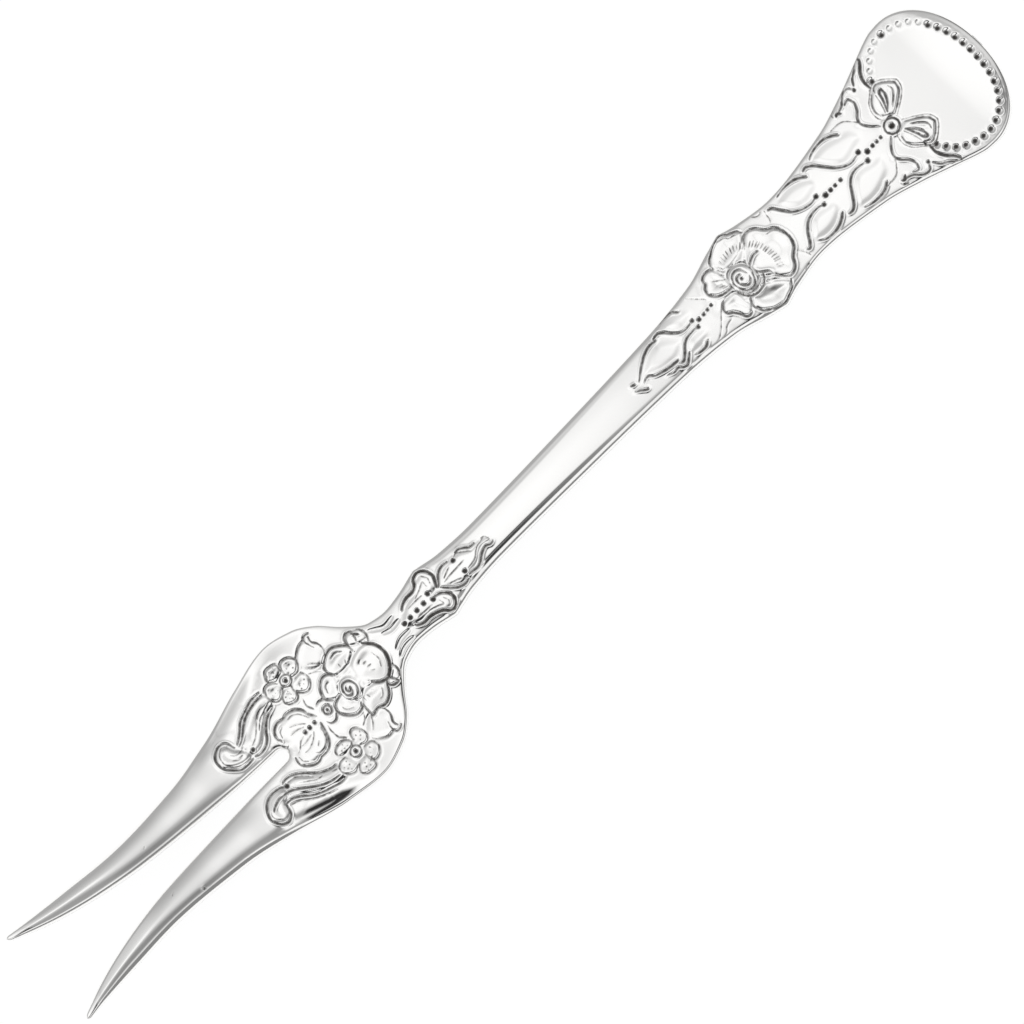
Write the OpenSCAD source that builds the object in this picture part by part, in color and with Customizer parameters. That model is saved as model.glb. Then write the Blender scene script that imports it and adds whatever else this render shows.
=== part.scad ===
// Serving fork: a two-tined meat fork struck from one piece of silver.
// +X runs towards the tines, +Y across and +Z up from the face. The origin is at
// the middle of the fork's length and width, on the surface that the fork rests on.

/* [Lengths along the fork] */
// From the handle's end to the middle of the rose boss
handle_len = 50.1; // [46:0.5:60]
// From the rose boss to the collar at the foot of the neck
neck_len = 70.3; // [64:0.5:90]
// From the collar to the widest part of the bowl
collar_len = 25.2; // [24:0.2:30]
// From the widest part of the bowl to the root of the slot
bowl_len = 8.5; // [8:0.25:12]
// From the root of the slot to the points of the tines
tine_len = 50.9; // [44:0.5:65]

/* [Widths across the fork] */
// Widest part of the handle's end
end_w = 26.6; // [25:0.2:30]
// Waist between the handle's end and the rose boss
grip_w = 12.0; // [11:0.2:14]
// Across the two corners of the rose boss
rose_w = 15.7; // [15:0.1:18]
// Narrowest part of the neck
neck_w = 7.2; // [6.6:0.1:9]
// Across the two corners of the collar
collar_w = 9.8; // [9.4:0.1:12]
// Waist between the collar and the bowl
waist_w = 7.3; // [6.4:0.1:9]
// Widest part of the bowl
bowl_w = 27.5; // [26:0.2:31]
// Across both tines at their waist
tines_w = 15.4; // [14:0.2:18]
// Between the two points of the tines
tip_spread = 17.6; // [15:0.2:20]
// Width of the slot between the tines at its root
slot_w = 2.3; // [1.6:0.1:3]
// Radius at which the handle's end comes round to its widest part
end_r = 9.3; // [8:0.1:11]

/* [Thickness of the metal] */
// Thickness at the handle's end
end_t = 1.9; // [1.5:0.1:2.6]
// Thickness of the neck
neck_t = 2.8; // [2.2:0.1:3.6]
// Thickness of the bowl
bowl_t = 1.9; // [1.5:0.1:2.6]
// Thickness at the points of the tines
tip_t = 0.6; // [0.4:0.1:1]
// Rounding of the edges on the face
face_r = 0.8; // [0.4:0.05:1]
// Rounding of the edges on the back
back_r = 0.45; // [0.2:0.05:0.6]

/* [Bends seen from the side] */
// How far the tip of the handle's end lifts off the table
tail_rise = 0.3; // [0:0.05:0.6]
// Height of the neck's back above the table
neck_rise = 4.9; // [3:0.1:9]
// Height of the tines' points above the table
tip_rise = 15.4; // [10:0.2:22]
// Rise of the bowl's sides above its middle
dish = 0.9; // [0.4:0.1:2]
// Crown across the face of each tine
tine_crown = 0.45; // [0.2:0.05:0.6]
// Crown across the face of the handle and neck
neck_crown = 0.2; // [0.1:0.05:0.5]

/* [Relief on the face] */
// Height of the petals and leaves above the face
petal_h = 0.34; // [0.2:0.02:0.5]
// Depth of the chased lines
line_d = 0.3; // [0.2:0.02:0.4]
// Diameter of the punched pearls round the handle's end
pearl_d = 1.05; // [0.7:0.05:1.3]
// Distance from one pearl to the next
pearl_pitch = 1.56; // [1.4:0.02:2]
// Distance from the pearls to the handle's edge
pearl_inset = 1.6; // [1.3:0.1:2.4]

/* [Hidden] */

fork_len = handle_len + neck_len + collar_len + bowl_len + tine_len;
x_end = -fork_len / 2;
x_rose = x_end + handle_len;
x_collar = x_rose + neck_len;
x_bowl = x_collar + collar_len;
x_root = x_bowl + bowl_len;
x_tip = x_root + tine_len;
x_wide = x_end + end_r;

point_w = 0.5;
flat_len = 18;
tail_len = 9;
sink = 0.35;
over = 0.25;
slot_lip = 0.3;
end_power = 2.1;
edge_margin = 0.75;
slot_margin = 0.5;
line_w = 0.42;
pit_d = 0.4;
x_bow = x_end + 18.4;
x_husk_1 = x_rose - 25.1;
x_husk_2 = x_rose - 15.6;
x_husk_3 = x_rose + 11.8;

// A smooth curve through points [x, value] that never overshoots them.
function secant(p, i) = (p[i + 1][1] - p[i][1]) / (p[i + 1][0] - p[i][0]);
function slope(p, i) =
    i == 0 ? secant(p, 0) :
    i == len(p) - 1 ? secant(p, i - 1) :
    secant(p, i - 1) * secant(p, i) <= 0 ? 0 :
    2 * secant(p, i - 1) * secant(p, i) / (secant(p, i - 1) + secant(p, i));
function span_of(p, x, i = 0) = i >= len(p) - 2 || x < p[i + 1][0] ? i : span_of(p, x, i + 1);
function span_value(p, i, x) =
    let (h = p[i + 1][0] - p[i][0], t = (x - p[i][0]) / h)
    p[i][1] * (1 + 2 * t) * pow(1 - t, 2) + p[i + 1][1] * t * t * (3 - 2 * t)
    + h * slope(p, i) * t * pow(1 - t, 2) - h * slope(p, i + 1) * t * t * (1 - t);
function curve(p, x) =
    x <= p[0][0] ? p[0][1] :
    x >= p[len(p) - 1][0] ? p[len(p) - 1][1] :
    span_value(p, span_of(p, x), x);
function ramp(a, b, x) = let (t = min(1, max(0, (x - a) / (b - a)))) t * t * (3 - 2 * t);

// Half the fork's width, in three stretches that meet in the corners of the rose boss and collar.
grip_side = [
    [x_wide, end_w / 2],
    [x_wide + 1.6, end_w / 2 - 0.1],
    [x_wide + 3.2, end_w / 2 - 0.5],
    [x_wide + 6.2, end_w / 2 - 1.6],
    [x_wide + 12.5, (end_w + grip_w) / 4 - 0.25],
    [x_wide + 18.7, grip_w / 2 + 1.6],
    [x_rose - 9.6, grip_w / 2],
    [x_rose - 3.4, rose_w / 2 - 0.95],
    [x_rose, rose_w / 2]];
neck_side = [
    [x_rose, rose_w / 2],
    [x_rose + 2.9, rose_w / 2 - 0.75],
    [x_rose + 9.1, (rose_w + neck_w) / 4 - 0.35],
    [x_rose + 18.5, neck_w / 2 + 0.85],
    [x_rose + 37.5, neck_w / 2 + 0.3],
    [x_collar - 11.3, neck_w / 2],
    [x_collar - 4.9, neck_w / 2 + 0.35],
    [x_collar, collar_w / 2]];
bowl_side = [
    [x_collar, collar_w / 2],
    [x_collar + 4.3, waist_w / 2 + 0.3],
    [x_collar + 7.3, waist_w / 2],
    [x_bowl - 14.6, waist_w / 2 + 0.65],
    [x_bowl - 11.5, bowl_w / 2 - 6.9],
    [x_bowl - 8.4, bowl_w / 2 - 3.4],
    [x_bowl - 5.3, bowl_w / 2 - 1.3],
    [x_bowl, bowl_w / 2],
    [x_root - 1.2, bowl_w / 2 - 1.15],
    [x_root + 8.1, (bowl_w + tines_w) / 4 - 0.6],
    [x_root + 17.4, tines_w / 2 + 0.75],
    [x_root + 29.9, tines_w / 2],
    [x_tip - 11.6, tip_spread / 2 - 0.6],
    [x_tip - 2, tip_spread / 2 + 0.15],
    [x_tip, tip_spread / 2 + point_w / 2]];
function half_w(x) =
    x < x_wide ? end_w / 2 * pow(max(0, 1 - pow((x_wide - x) / end_r, end_power)), 1 / end_power) :
    x < x_rose ? curve(grip_side, x) :
    x < x_collar ? curve(neck_side, x) : curve(bowl_side, x);

// Half the gap between the tines, with a round root.
slot_r = slot_w / 2;
slot_side = [
    [x_root + slot_r, slot_r],
    [x_root + 8.4, slot_r + 0.15],
    [x_root + 18.4, slot_r + 0.65],
    [x_root + 28.4, slot_r + 1.4],
    [x_tip - 15.5, tip_spread / 2 - 5.2],
    [x_tip - 9.5, tip_spread / 2 - 3.85],
    [x_tip - 4.5, tip_spread / 2 - 2.25],
    [x_tip, tip_spread / 2 - point_w / 2]];
function half_gap(x) =
    x <= x_root ? 0 :
    x < x_root + slot_r ? sqrt(max(0, slot_r * slot_r - pow(x_root + slot_r - x, 2))) :
    curve(slot_side, x);

// Height of the back at the fork's middle line, and the metal's thickness there.
back_line = [
    [x_end, tail_rise],
    [x_end + tail_len, 0],
    [x_end + flat_len, 0],
    [x_rose - 8, neck_rise * 0.22],
    [x_rose + 22, neck_rise * 0.53],
    [x_collar - 10, neck_rise * 0.94],
    [x_collar + 2, neck_rise],
    [x_collar + 9, neck_rise * 0.9],
    [x_bowl - 11, neck_rise * 0.66],
    [x_bowl - 5, neck_rise * 0.3],
    [x_bowl + 1, neck_rise * 0.09],
    [x_root - 0.5, 0],
    [x_root + 2, tip_rise * 0.008],
    [x_root + 8.4, tip_rise * 0.078],
    [x_root + 20.4, tip_rise * 0.31],
    [x_root + 32.4, tip_rise * 0.6],
    [x_tip - 12, tip_rise * 0.74],
    [x_tip, tip_rise]];
metal = [
    [x_end, end_t],
    [x_end + flat_len, end_t],
    [x_rose, (end_t + neck_t) / 2],
    [x_rose + 30, neck_t],
    [x_collar + 5, neck_t],
    [x_bowl - 4, bowl_t],
    [x_root + 12, bowl_t],
    [x_tip - 16, bowl_t * 0.85],
    [x_tip - 4, (bowl_t + tip_t) / 2],
    [x_tip, tip_t]];

// How far a point lies inside the fork's outline, seen from above.
rim_x = concat(
    [for (a = [0:15:75]) x_wide - end_r * cos(a)],
    [for (i = [0:14]) x_wide + (x_rose - x_wide) * i / 15],
    [for (i = [0:18]) x_rose + (x_collar - x_rose) * i / 19],
    [for (i = [0:15]) x_collar + (x_root - x_collar) * i / 16],
    [for (i = [0:20]) x_root + (x_tip - x_root) * i / 20]);
slot_x = concat(
    [for (a = [0:30:60]) x_root + slot_r * (1 - cos(a))],
    [for (i = [0:16]) x_root + slot_r + (x_tip - x_root - slot_r) * i / 16]);
rim = [for (x = rim_x) [x, half_w(x)]];
slot_rim = [for (x = slot_x) [x, half_gap(x)]];
function to_segment(p, a, b) =
    let (ab = b - a, t = min(1, max(0, (p - a) * ab / max(1e-9, ab * ab)))) norm(p - a - ab * t);
function to_line(p, line) =
    min([for (i = [0:len(line) - 2])
        if (min(abs(line[i][0] - p[0]), abs(line[i + 1][0] - p[0])) < 8)
            to_segment(p, line[i], line[i + 1])]);
function rim_inset(x, y) = y == 0 && x > x_wide - end_r + 3 ? half_w(x) : to_line([x, abs(y)], rim);
function slot_inset(x, y) = x < x_root - slot_lip ? 9 : to_line([x, abs(y)], slot_rim);
function fall(d, r) = d >= r ? 0 : r - sqrt(r * r - pow(r - max(0, d), 2));

// Height of the back and of the face at any point of the plan.
function across(x, y) = abs(y) / max(half_w(x), 0.5);
function dished(x, y) =
    dish * ramp(x_bowl - 12, x_bowl, x) * (1 - ramp(x_root, x_root + 32, x)) * pow(across(x, y), 2);
function crowned(x, y) =
    let (mid = (half_w(x) + half_gap(x)) / 2, half = max(0.2, (half_w(x) - half_gap(x)) / 2))
    tine_crown * ramp(x_root + 2, x_root + 18, x) * (1 - ramp(x_tip - 4, x_tip, x))
        * (1 - pow(min(1, abs(abs(y) - mid) / half), 2))
    - neck_crown * (1 - ramp(x_collar + 8, x_bowl - 8, x)) * pow(across(x, y), 2);
function thin_r(x, r) = min(r, curve(metal, x) * 0.42, (half_w(x) - half_gap(x)) * 0.45 + 0.05);
function face(x, y) = curve(back_line, x) + curve(metal, x) + dished(x, y) + crowned(x, y);
function face_z(x, y, d, s) = face(x, y) - max(fall(d, thin_r(x, face_r)), fall(s, thin_r(x, slot_lip)));
function back_z(x, y, d) = curve(back_line, x) + dished(x, y) + fall(d, thin_r(x, back_r));
function top(x, y) = face_z(x, y, rim_inset(x, y), slot_inset(x, y));

// Where the cross-sections are taken along the fork.
function steps(a, b, n) = [for (i = [1:n]) a + (b - a) * i / n];
stations = concat(
    [for (a = [4, 13, 25, 38, 53, 70, 90]) x_wide - end_r * cos(a)],
    steps(x_wide, x_rose - 9.7, 7),
    steps(x_rose - 9.7, x_rose, 4),
    steps(x_rose, x_rose + 12.7, 4),
    steps(x_rose + 12.7, x_collar - 12.7, 3),
    steps(x_collar - 12.7, x_collar, 4),
    steps(x_collar, x_collar + 9.7, 4),
    steps(x_collar + 9.7, x_bowl, 6),
    steps(x_bowl, x_root - slot_lip, 3),
    [x_root]);
tine_stations = concat(
    [for (a = [25:21.6:90]) x_root + slot_r * (1 - cos(a))],
    steps(x_root + slot_r, x_tip - 16, 6),
    steps(x_tip - 16, x_tip - 5, 4),
    steps(x_tip - 5, x_tip, 3));
all_stations = concat(stations, tine_stations);

// One half of a cross-section, as points from the middle over the face to the edge and back below.
function half_ring(x, side) =
    let (w = half_w(x), g = half_gap(x), r = thin_r(x, face_r), b = thin_r(x, back_r),
        mid = (w + g) / 2,
        a = g + min(x > x_root - slot_lip - 0.1 ? slot_lip : 2, (w - g) * 0.15),
        c = max(w - r, mid + (w - g) * 0.1),
        ys = [g, a, (a + c) / 2, c, (w * 2 + c) / 3, w],
        yb = [w, max(w - b, mid + (w - g) * 0.1), mid, g])
    concat(
        [for (y = ys) let (d = y == w ? 0 : rim_inset(x, y), s = y == g && x >= x_root ? 0 : slot_inset(x, y))
            [x, side * y, face_z(x, y, d, s)]],
        [for (y = yb) [x, side * y, back_z(x, y, y == w ? 0 : rim_inset(x, y))]]);

// The fork's body: two half lofts that share the middle line as far as the slot's root.
ring_n = 10;
module fork_body() {
    n = len(all_stations);
    root = len(stations) - 1;
    points = [for (side = [1, -1]) for (x = all_stations) each half_ring(x, side)];
    function at(s, i, k) = (s * n + i) * ring_n + k;
    function facing(s, f) = s == 0 ? f : [f[0], f[2], f[1]];
    function quad(s, a, b, c, d) = [facing(s, [a, b, c]), facing(s, [a, c, d])];
    function end_cap(s, i, turned) =
        [for (k = [1:ring_n - 2]) facing(turned ? 1 - s : s, [at(s, i, 0), at(s, i, k), at(s, i, k + 1)])];
    faces = [for (s = [0, 1]) each concat(
        [for (i = [0:n - 2]) for (k = [0:ring_n - 2])
            each quad(s, at(s, i, k), at(s, i, k + 1), at(s, i + 1, k + 1), at(s, i + 1, k))],
        [for (i = [root:n - 2])
            each quad(s, at(s, i, ring_n - 1), at(s, i, 0), at(s, i + 1, 0), at(s, i + 1, ring_n - 1))],
        end_cap(s, 0, true),
        end_cap(s, n - 1, false))];
    polyhedron(points = points, faces = faces, convexity = 8);
}

// A smooth path through hand-set points, with a step between two of them where it bends.
function bend(p, i, t) =
    let (a = p[max(0, i - 1)], b = p[i], c = p[i + 1], d = p[min(len(p) - 1, i + 2)])
    0.5 * (2 * b + (c - a) * t + (2 * a - 5 * b + 4 * c - d) * t * t + (3 * b - a - 3 * c + d) * t * t * t);
function turn_at(p, i) =
    i < 1 || i > len(p) - 2 ? 0 : let (a = p[i] - p[i - 1], b = p[i + 1] - p[i])
    acos(min(1, max(-1, a * b / (norm(a) * norm(b)))));
function smooth(p) =
    [for (i = [0:len(p) - 2])
        each max(turn_at(p, i), turn_at(p, i + 1)) > 36 ? [p[i], bend(p, i, 0.5)] : [p[i]],
     p[len(p) - 1]];
function spiral(c, r0, r1, a0, a1, n) =
    [for (i = [0:n]) let (a = a0 + (a1 - a0) * i / n, r = r0 + (r1 - r0) * i / n) c + r * [cos(a), sin(a)]];
function flip(p, side) = [for (q = p) [q[0], q[1] * side]];

// A point of the ornament, measured from x0 and kept inside the fork's edge.
function kept(x0, q) =
    let (x = x0 + q[0], room = half_w(x) - edge_margin, wall = x > x_root ? half_gap(x) + slot_margin : 0)
    [x, sign(q[1]) * max(wall, min(abs(q[1]), room))];
function on_face(q, lift) = [q[0], q[1], top(q[0], q[1]) + lift];

// A chased line: a V cut along a path, narrower towards its ends.
module line(x0, path, w = line_w, lift = 0, fine = false) {
    p = [for (q = fine ? path : smooth(path)) kept(x0, q)];
    n = len(p);
    high = petal_h + over;
    cut = [for (i = [0:n - 1]) let (
        d = p[min(n - 1, i + 1)] - p[max(0, i - 1)],
        side = [-d[1], d[0]] / max(0.01, norm(d)),
        thin = 0.45 + 0.55 * sin(180 * i / (n - 1)),
        reach = w / 2 * thin * (line_d + high) / line_d,
        low = on_face(p[i], lift - line_d * thin))
        each [low, [p[i][0] + side[0] * reach, p[i][1] + side[1] * reach, low[2] + line_d + high],
            [p[i][0] - side[0] * reach, p[i][1] - side[1] * reach, low[2] + line_d + high]]];
    faces = concat(
        [for (i = [0:n - 2]) for (k = [0:2]) let (a = i * 3 + k, b = i * 3 + (k + 1) % 3)
            each [[b + 3, b, a], [a + 3, b + 3, a]]],
        [[0, 1, 2], [n * 3 - 1, n * 3 - 2, n * 3 - 3]]);
    polyhedron(points = cut, faces = faces, convexity = 4);
}
// A chased ring: the same V turned about the ring's middle.
module ring_line(x0, c, r, w = line_w) {
    high = petal_h + over;
    reach = w / 2 * (line_d + high) / line_d;
    translate([x0 + c[0], c[1], top(x0 + c[0], c[1])])
        rotate_extrude($fn = 10)
            polygon([[r, -line_d], [r + reach, high], [r - reach, high]]);
}

// A raised petal or leaf: a rim that rises from the face round a crown or a hollow.
module petal(x0, outline, crest, crown = 0.6, h = petal_h) {
    n = len(outline);
    out = [for (q = outline) kept(x0, crest + (q - crest) * 1.08)];
    lip = [for (q = outline) kept(x0, crest + (q - crest) * 0.84)];
    c = kept(x0, crest);
    points = concat(
        [for (q = out) on_face(q, -sink)],
        [for (q = lip) on_face(q, h)],
        [on_face(c, -sink - over), on_face(c, h * crown)]);
    faces = [for (i = [0:n - 1]) let (j = (i + 1) % n)
        each [[i, n + i, n + j], [i, n + j, j], [n + i, n * 2 + 1, n + j], [j, n * 2, i]]];
    polyhedron(points = points, faces = turned(outline) < 0 ? [for (f = faces) [f[2], f[1], f[0]]] : faces,
        convexity = 4);
}
function turned(p) = let (n = len(p)) sign(cross_sum(p, n));
function cross_sum(p, n, i = 0) =
    i >= n ? 0 : p[i][0] * p[(i + 1) % n][1] - p[i][1] * p[(i + 1) % n][0] + cross_sum(p, n, i + 1);

// A punched pearl or dot: a small tapered hollow.
module pit(x0, q, r, sides = 6) {
    p = kept(x0, q);
    high = petal_h + over;
    translate([p[0], p[1], top(p[0], p[1]) - pit_d])
        rotate(11)
        hull() {
            cylinder(h = 0.01, r = r * 0.5, $fn = sides);
            translate([0, 0, pit_d + high])
                cylinder(h = 0.01, r = r * (1 + 0.5 * high / pit_d), $fn = sides);
        }
}
module dots(x0, us, r) for (u = us) pit(x0, [u, 0], r, 5);
module disc(x0, c, r, crown = 1, h = petal_h) petal(x0, spiral(c, r, r, 0, 315, 7), c, crown, h);

// Pearls stand in a row inside the edge of the handle's end, at even steps along it.
pearl_from = x_end + 15.8;
function pearl_way() =
    [for (i = [0:10]) let (x = pearl_from + (x_wide - pearl_from) * i / 10) [x, half_w(x) - pearl_inset],
     for (a = [80:-8:0]) let (k = 1 - pearl_inset / end_r)
        [x_wide - (end_r - pearl_inset) * pow(cos(a), 2 / end_power),
         (end_w / 2 - pearl_inset) * pow(sin(a), 2 / end_power)]];
function arc_len(p, i = 0) = i >= len(p) - 1 ? 0 : norm(p[i + 1] - p[i]) + arc_len(p, i + 1);
function walk(p, s, i = 0) =
    i >= len(p) - 2 || s <= norm(p[i + 1] - p[i])
        ? p[i] + (p[i + 1] - p[i]) * s / norm(p[i + 1] - p[i])
        : walk(p, s - norm(p[i + 1] - p[i]), i + 1);
module pearls() {
    way = pearl_way();
    full = arc_len(way);
    n = floor(full / pearl_pitch);
    for (k = [0:n]) for (side = k == 0 ? [1] : [1, -1]) {
        q = walk(way, full - k * full / n);
        pit(0, [q[0], side * q[1]], pearl_d / 2);
    }
}

// The ribbon bow at the head of the handle's ornament, and its trailing ends.
loop_pad = [[-1.5, 1], [-3.6, 1.9], [-5, 3.3], [-4.7, 4.9], [-2.9, 6], [-1.6, 5.4], [-0.9, 3.4]];
module bow_raised() {
    disc(x_bow, [0, 0], 1.15, 1);
    for (side = [1, -1]) petal(x_bow, flip(loop_pad, side), [-2.9, 4 * side], 0.5);
}
module bow_lines() {
    ring_line(x_bow, [0, 0], 1.35);
    pit(x_bow, [0, 0], 0.45);
    for (side = [1, -1]) {
        line(x_bow, flip([[-1.9, 0.8], [-4.7, 2.7], [-5.2, 4.4], [-3, 6.2], [-1.6, 5.8]], side));
        line(x_bow, flip([[-1.2, 5.5], [0.4, 3.3], [0.1, 1.9]], side));
        line(x_bow, flip([[-1.9, 6.4], [-1.9, 8], [-3.5, 10.3], [-3.8, 11.4]], side));
        line(x_bow, flip([[-3.1, 11.3], [-1.1, 9.7], [0, 8.3], [1.6, 9], [3.2, 7.8], [4.6, 7.4]], side));
        line(x_bow, flip([[1.3, 1.2], [3, 3.6], [4.9, 5.8], [7.2, 6.2]], side));
        line(x_bow, flip([[2.5, 4.2], [1.6, 6.2], [2.1, 7.8]], side));
        pit(x_bow, [4.8, 7.3 * side], 0.4);
    }
}

// A husk of leaves that opens along the handle, used three times at falling sizes.
husk_leaf = [[-0.3, 3.2], [0.6, 1.5], [3.5, 1.8], [6.2, 5.3], [3.4, 6.1], [0.9, 5.3]];
husk_heart = [[0.4, 0], [3, 0.8], [6.8, 0], [3, -0.8]];
husks = [[x_husk_1, 1], [x_husk_2, 0.88], [x_husk_3, 0.64]];
module husks_raised()
    for (h = husks) {
        petal(h[0], husk_heart * h[1], [3.4, 0] * h[1], 1);
        for (side = [1, -1]) petal(h[0], flip(husk_leaf, side) * h[1], [2.8, 4 * side] * h[1], 0.7);
    }
module husks_lines()
    for (h = husks) {
        for (side = [1, -1]) {
            pit(h[0], [0, 0.95 * side] * h[1], 0.42, 5);
            line(h[0], flip([[0.7, 0.9], [3.6, 1.2], [5.2, 3], [6.5, 4.6], [7.9, 5]], side) * h[1]);
            line(h[0], flip([[0.1, 5.6], [2.5, 6.5], [5.6, 6.1]], side) * h[1], line_w * 0.8);
        }
        for (i = [0:2]) pit(h[0], [i * 1.1 - 3.4, 0] * h[1], 0.32 + 0.06 * i, 5);
    }

// The rose on the handle: five cupped petals round a rolled bud.
rose_petals = [
    [[-4.6, 0], [[-2.2, 3.4], [-4.4, 4.9], [-6.3, 3.5], [-7.9, 2], [-8.3, -0.6], [-6.8, -2.8], [-4.7, -4.8],
        [-2.1, -3.4], [-1, 0]]],
    [[0.1, 5.1], [[-3.6, 5.1], [-2.2, 6.7], [0.2, 7.3], [2.6, 6.1], [3.3, 4.2], [2.3, 3], [-1.4, 3]]],
    [[0.2, -5.1], [[-3.5, -5.2], [-2, -6.8], [0.6, -7.3], [3, -5.9], [3.5, -4.1], [2.3, -3.1], [-1.4, -2.9]]],
    [[5.1, 2.4], [[3.4, 4.4], [4.9, 4.8], [5.8, 3.5], [7.1, 1.8], [6.2, 0.3], [4, 0.4], [3.2, 2.3]]],
    [[5.2, -2.6], [[3.6, -0.4], [6.1, -0.8], [7.1, -2.2], [6.2, -4.3], [4.5, -4.8], [3.4, -3.6],
        [3.2, -1.8]]]];
module rose_raised() {
    for (p = rose_petals) petal(x_rose, p[1], p[0], 0.35, petal_h * 1.15);
    disc(x_rose, [1.7, -0.1], 2.5, 0.95, petal_h * 1.4);
}
module rose_lines() {
    line(x_rose, spiral([1.7, -0.1], 0.5, 2.6, -40, 600, 13), line_w, petal_h * 0.6, true);
    line(x_rose, [[-1.3, 1.5], [0.1, 3], [2.5, 2.7], [3.7, 0.5]], line_w, petal_h * 0.3);
    line(x_rose, [[-0.4, -0.5], [-2.2, -1.5], [-3.6, -1.3]], line_w, petal_h * 0.5);
    for (i = [0:3]) {
        a = 158 + 15 * i;
        line(x_rose, [for (r = [6, 6.9, 7.8]) [1.7, -0.1] + r * [cos(a), sin(a)]],
            line_w * 0.8, petal_h * 0.5, true);
    }
    for (side = [1, -1]) {
        line(x_rose, flip([[6.6, 0.3], [8.8, 2.4], [11.5, 4]], side));
        line(x_rose, flip([[17.5, 2.5], [20.4, 1.9], [23, 0.6], [24.6, 0.3]], side));
    }
}
module tip_leaf_raised()
    petal(x_rose, [[17, 0], [19, 1.7], [21, 1.3], [24, 0], [21, -1.3], [19, -1.7]], [20, 0], 1);

// The collar: a leaf that lies up the neck over a palmette.
collar_leaf = [[-12.2, 0], [-9, 1.1], [-6.8, 1.8], [-4.2, 2.2], [-1.2, 0], [-4.2, -2.1], [-6.8, -1.7],
    [-9, -0.9]];
fan_half = [[0.3, 0.5], [-1.3, 1.1], [-1.7, 3.1], [-0.2, 3.9], [1.2, 2.7], [5.2, 1.7], [4, 1]];
module collar_raised() {
    petal(x_collar, collar_leaf, [-5.4, 0], 1);
    for (side = [1, -1]) petal(x_collar, flip(fan_half, side), [0, 2.2 * side], 0.6);
}
module collar_lines() {
    line(x_collar, [[-7, -0.3], [-5.3, -0.2], [-2, 0]], line_w, petal_h * 0.7);
    for (side = [1, -1]) {
        line(x_collar, flip([[-11.8, 0.8], [-9.5, 1.2], [-6.9, 2.4], [-4.3, 2.6], [-1.5, 0.4]], side));
        line(x_collar, flip([[0.2, 0.5], [-1.9, 1.9], [-1.2, 3.6], [0.9, 3], [3.2, 2.1], [5.6, 1.2]], side));
        pit(x_collar, [-5.7, 1.2 * side], 0.38);
    }
    dots(x_collar, [2.3, 3.8, 5.3, 6.6], 0.45);
}

// The bowl: a rose between two blossoms, leaves, and a bell flower at the slot's root.
bowl_rose_petals = [
    [[-3.4, 2], [[-5, 3.3], [-3.8, 4.1], [-2.1, 3], [-1.5, 1.4], [-2.3, 0.3], [-4.4, 0.7]]],
    [[-3.3, -2.1], [[-2.2, -0.3], [-1.4, -1.7], [-2.4, -3.5], [-3.9, -4], [-5.1, -3], [-4, -0.7]]],
    [[-7.4, -4], [[-4.8, -3.2], [-5, -5], [-6.8, -6.1], [-8.8, -5.5], [-9.9, -3.6], [-8, -2.2], [-6, -2.1]]],
    [[-10.6, 0.3], [[-8.6, 2.6], [-10.9, 3.7], [-12.8, 2.1], [-13.3, -0.2], [-12.2, -2.3], [-9.4, -2.5],
        [-7.8, 0.2]]],
    [[-7.3, 4.3], [[-10.1, 4.2], [-8.8, 5.8], [-7, 6.2], [-5, 5.7], [-5.2, 3.6], [-6.6, 2.4], [-8.6, 2.7]]]];
bud_pad = [[-12.8, 3.4], [-12.6, 4.8], [-11.4, 5.4], [-10.3, 4.8], [-10.9, 3.9]];
leaf_pad = [[-6.9, 6.4], [-6.9, 9], [-5.5, 10.4], [-3.9, 9.9], [-2.9, 8.4], [-3.4, 6.6], [-4.9, 5.5]];
bell_half = [[1.5, 0.6], [2.2, 2.9], [3.6, 4.3], [6.6, 4.6], [8.2, 3.5], [8.3, 1.6], [5.6, 0.6]];
blossom_at = [0.9, 7.8];
module bowl_raised() {
    for (p = bowl_rose_petals) petal(x_bowl, p[1], p[0], 0.35, petal_h * 1.15);
    disc(x_bowl, [-5.6, -0.2], 2, 0.95, petal_h * 1.4);
    for (side = [1, -1]) {
        petal(x_bowl, flip(bud_pad, side), [-11.7, 4.4 * side], 0.9);
        petal(x_bowl, flip(leaf_pad, side), [-4.9, 7.9 * side], 0.8);
        petal(x_bowl, flip(bell_half, side), [5, 2.6 * side], 0.5);
        for (i = [0:4]) {
            c = flip([blossom_at + 2.35 * [cos(54 + 72 * i), sin(54 + 72 * i)]], side)[0];
            petal(x_bowl, spiral(c, 1.6, 1.6, 18, 318, 5), c, 0.35);
        }
    }
}
module bowl_lines() {
    line(x_bowl, spiral([-5.6, -0.2], 0.45, 2, 60, 600, 11), line_w, petal_h * 0.6, true);
    ring_line(x_bowl, [-0.6, 0], 0.75);
    pit(x_bowl, [-0.6, 0], 0.25);
    dots(x_bowl, [2.2, 3.3, 4.3], 0.35);
    for (side = [1, -1]) {
        c = flip([blossom_at], side)[0];
        ring_line(x_bowl, c, 0.95);
        pit(x_bowl, c, 0.35);
        line(x_bowl, flip([[-4.9, 5.6], [-4.2, 6.8], [-4.4, 9.2]], side), line_w, petal_h * 0.5);
        line(x_bowl, flip([[-4.2, 4.6], [-3, 5.6], [-1.6, 5.2], [0.4, 5.4], [1.3, 4.2], [1, 1.6]], side));
        line(x_bowl, flip([[3.2, 0.9], [5.4, 2.1], [6.9, 2.3]], side), line_w, petal_h * 0.5);
        line(x_bowl, flip([[4.9, 0.3], [6.6, 1.1], [7.6, 1.6]], side), line_w, petal_h * 0.5);
    }
}

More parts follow.
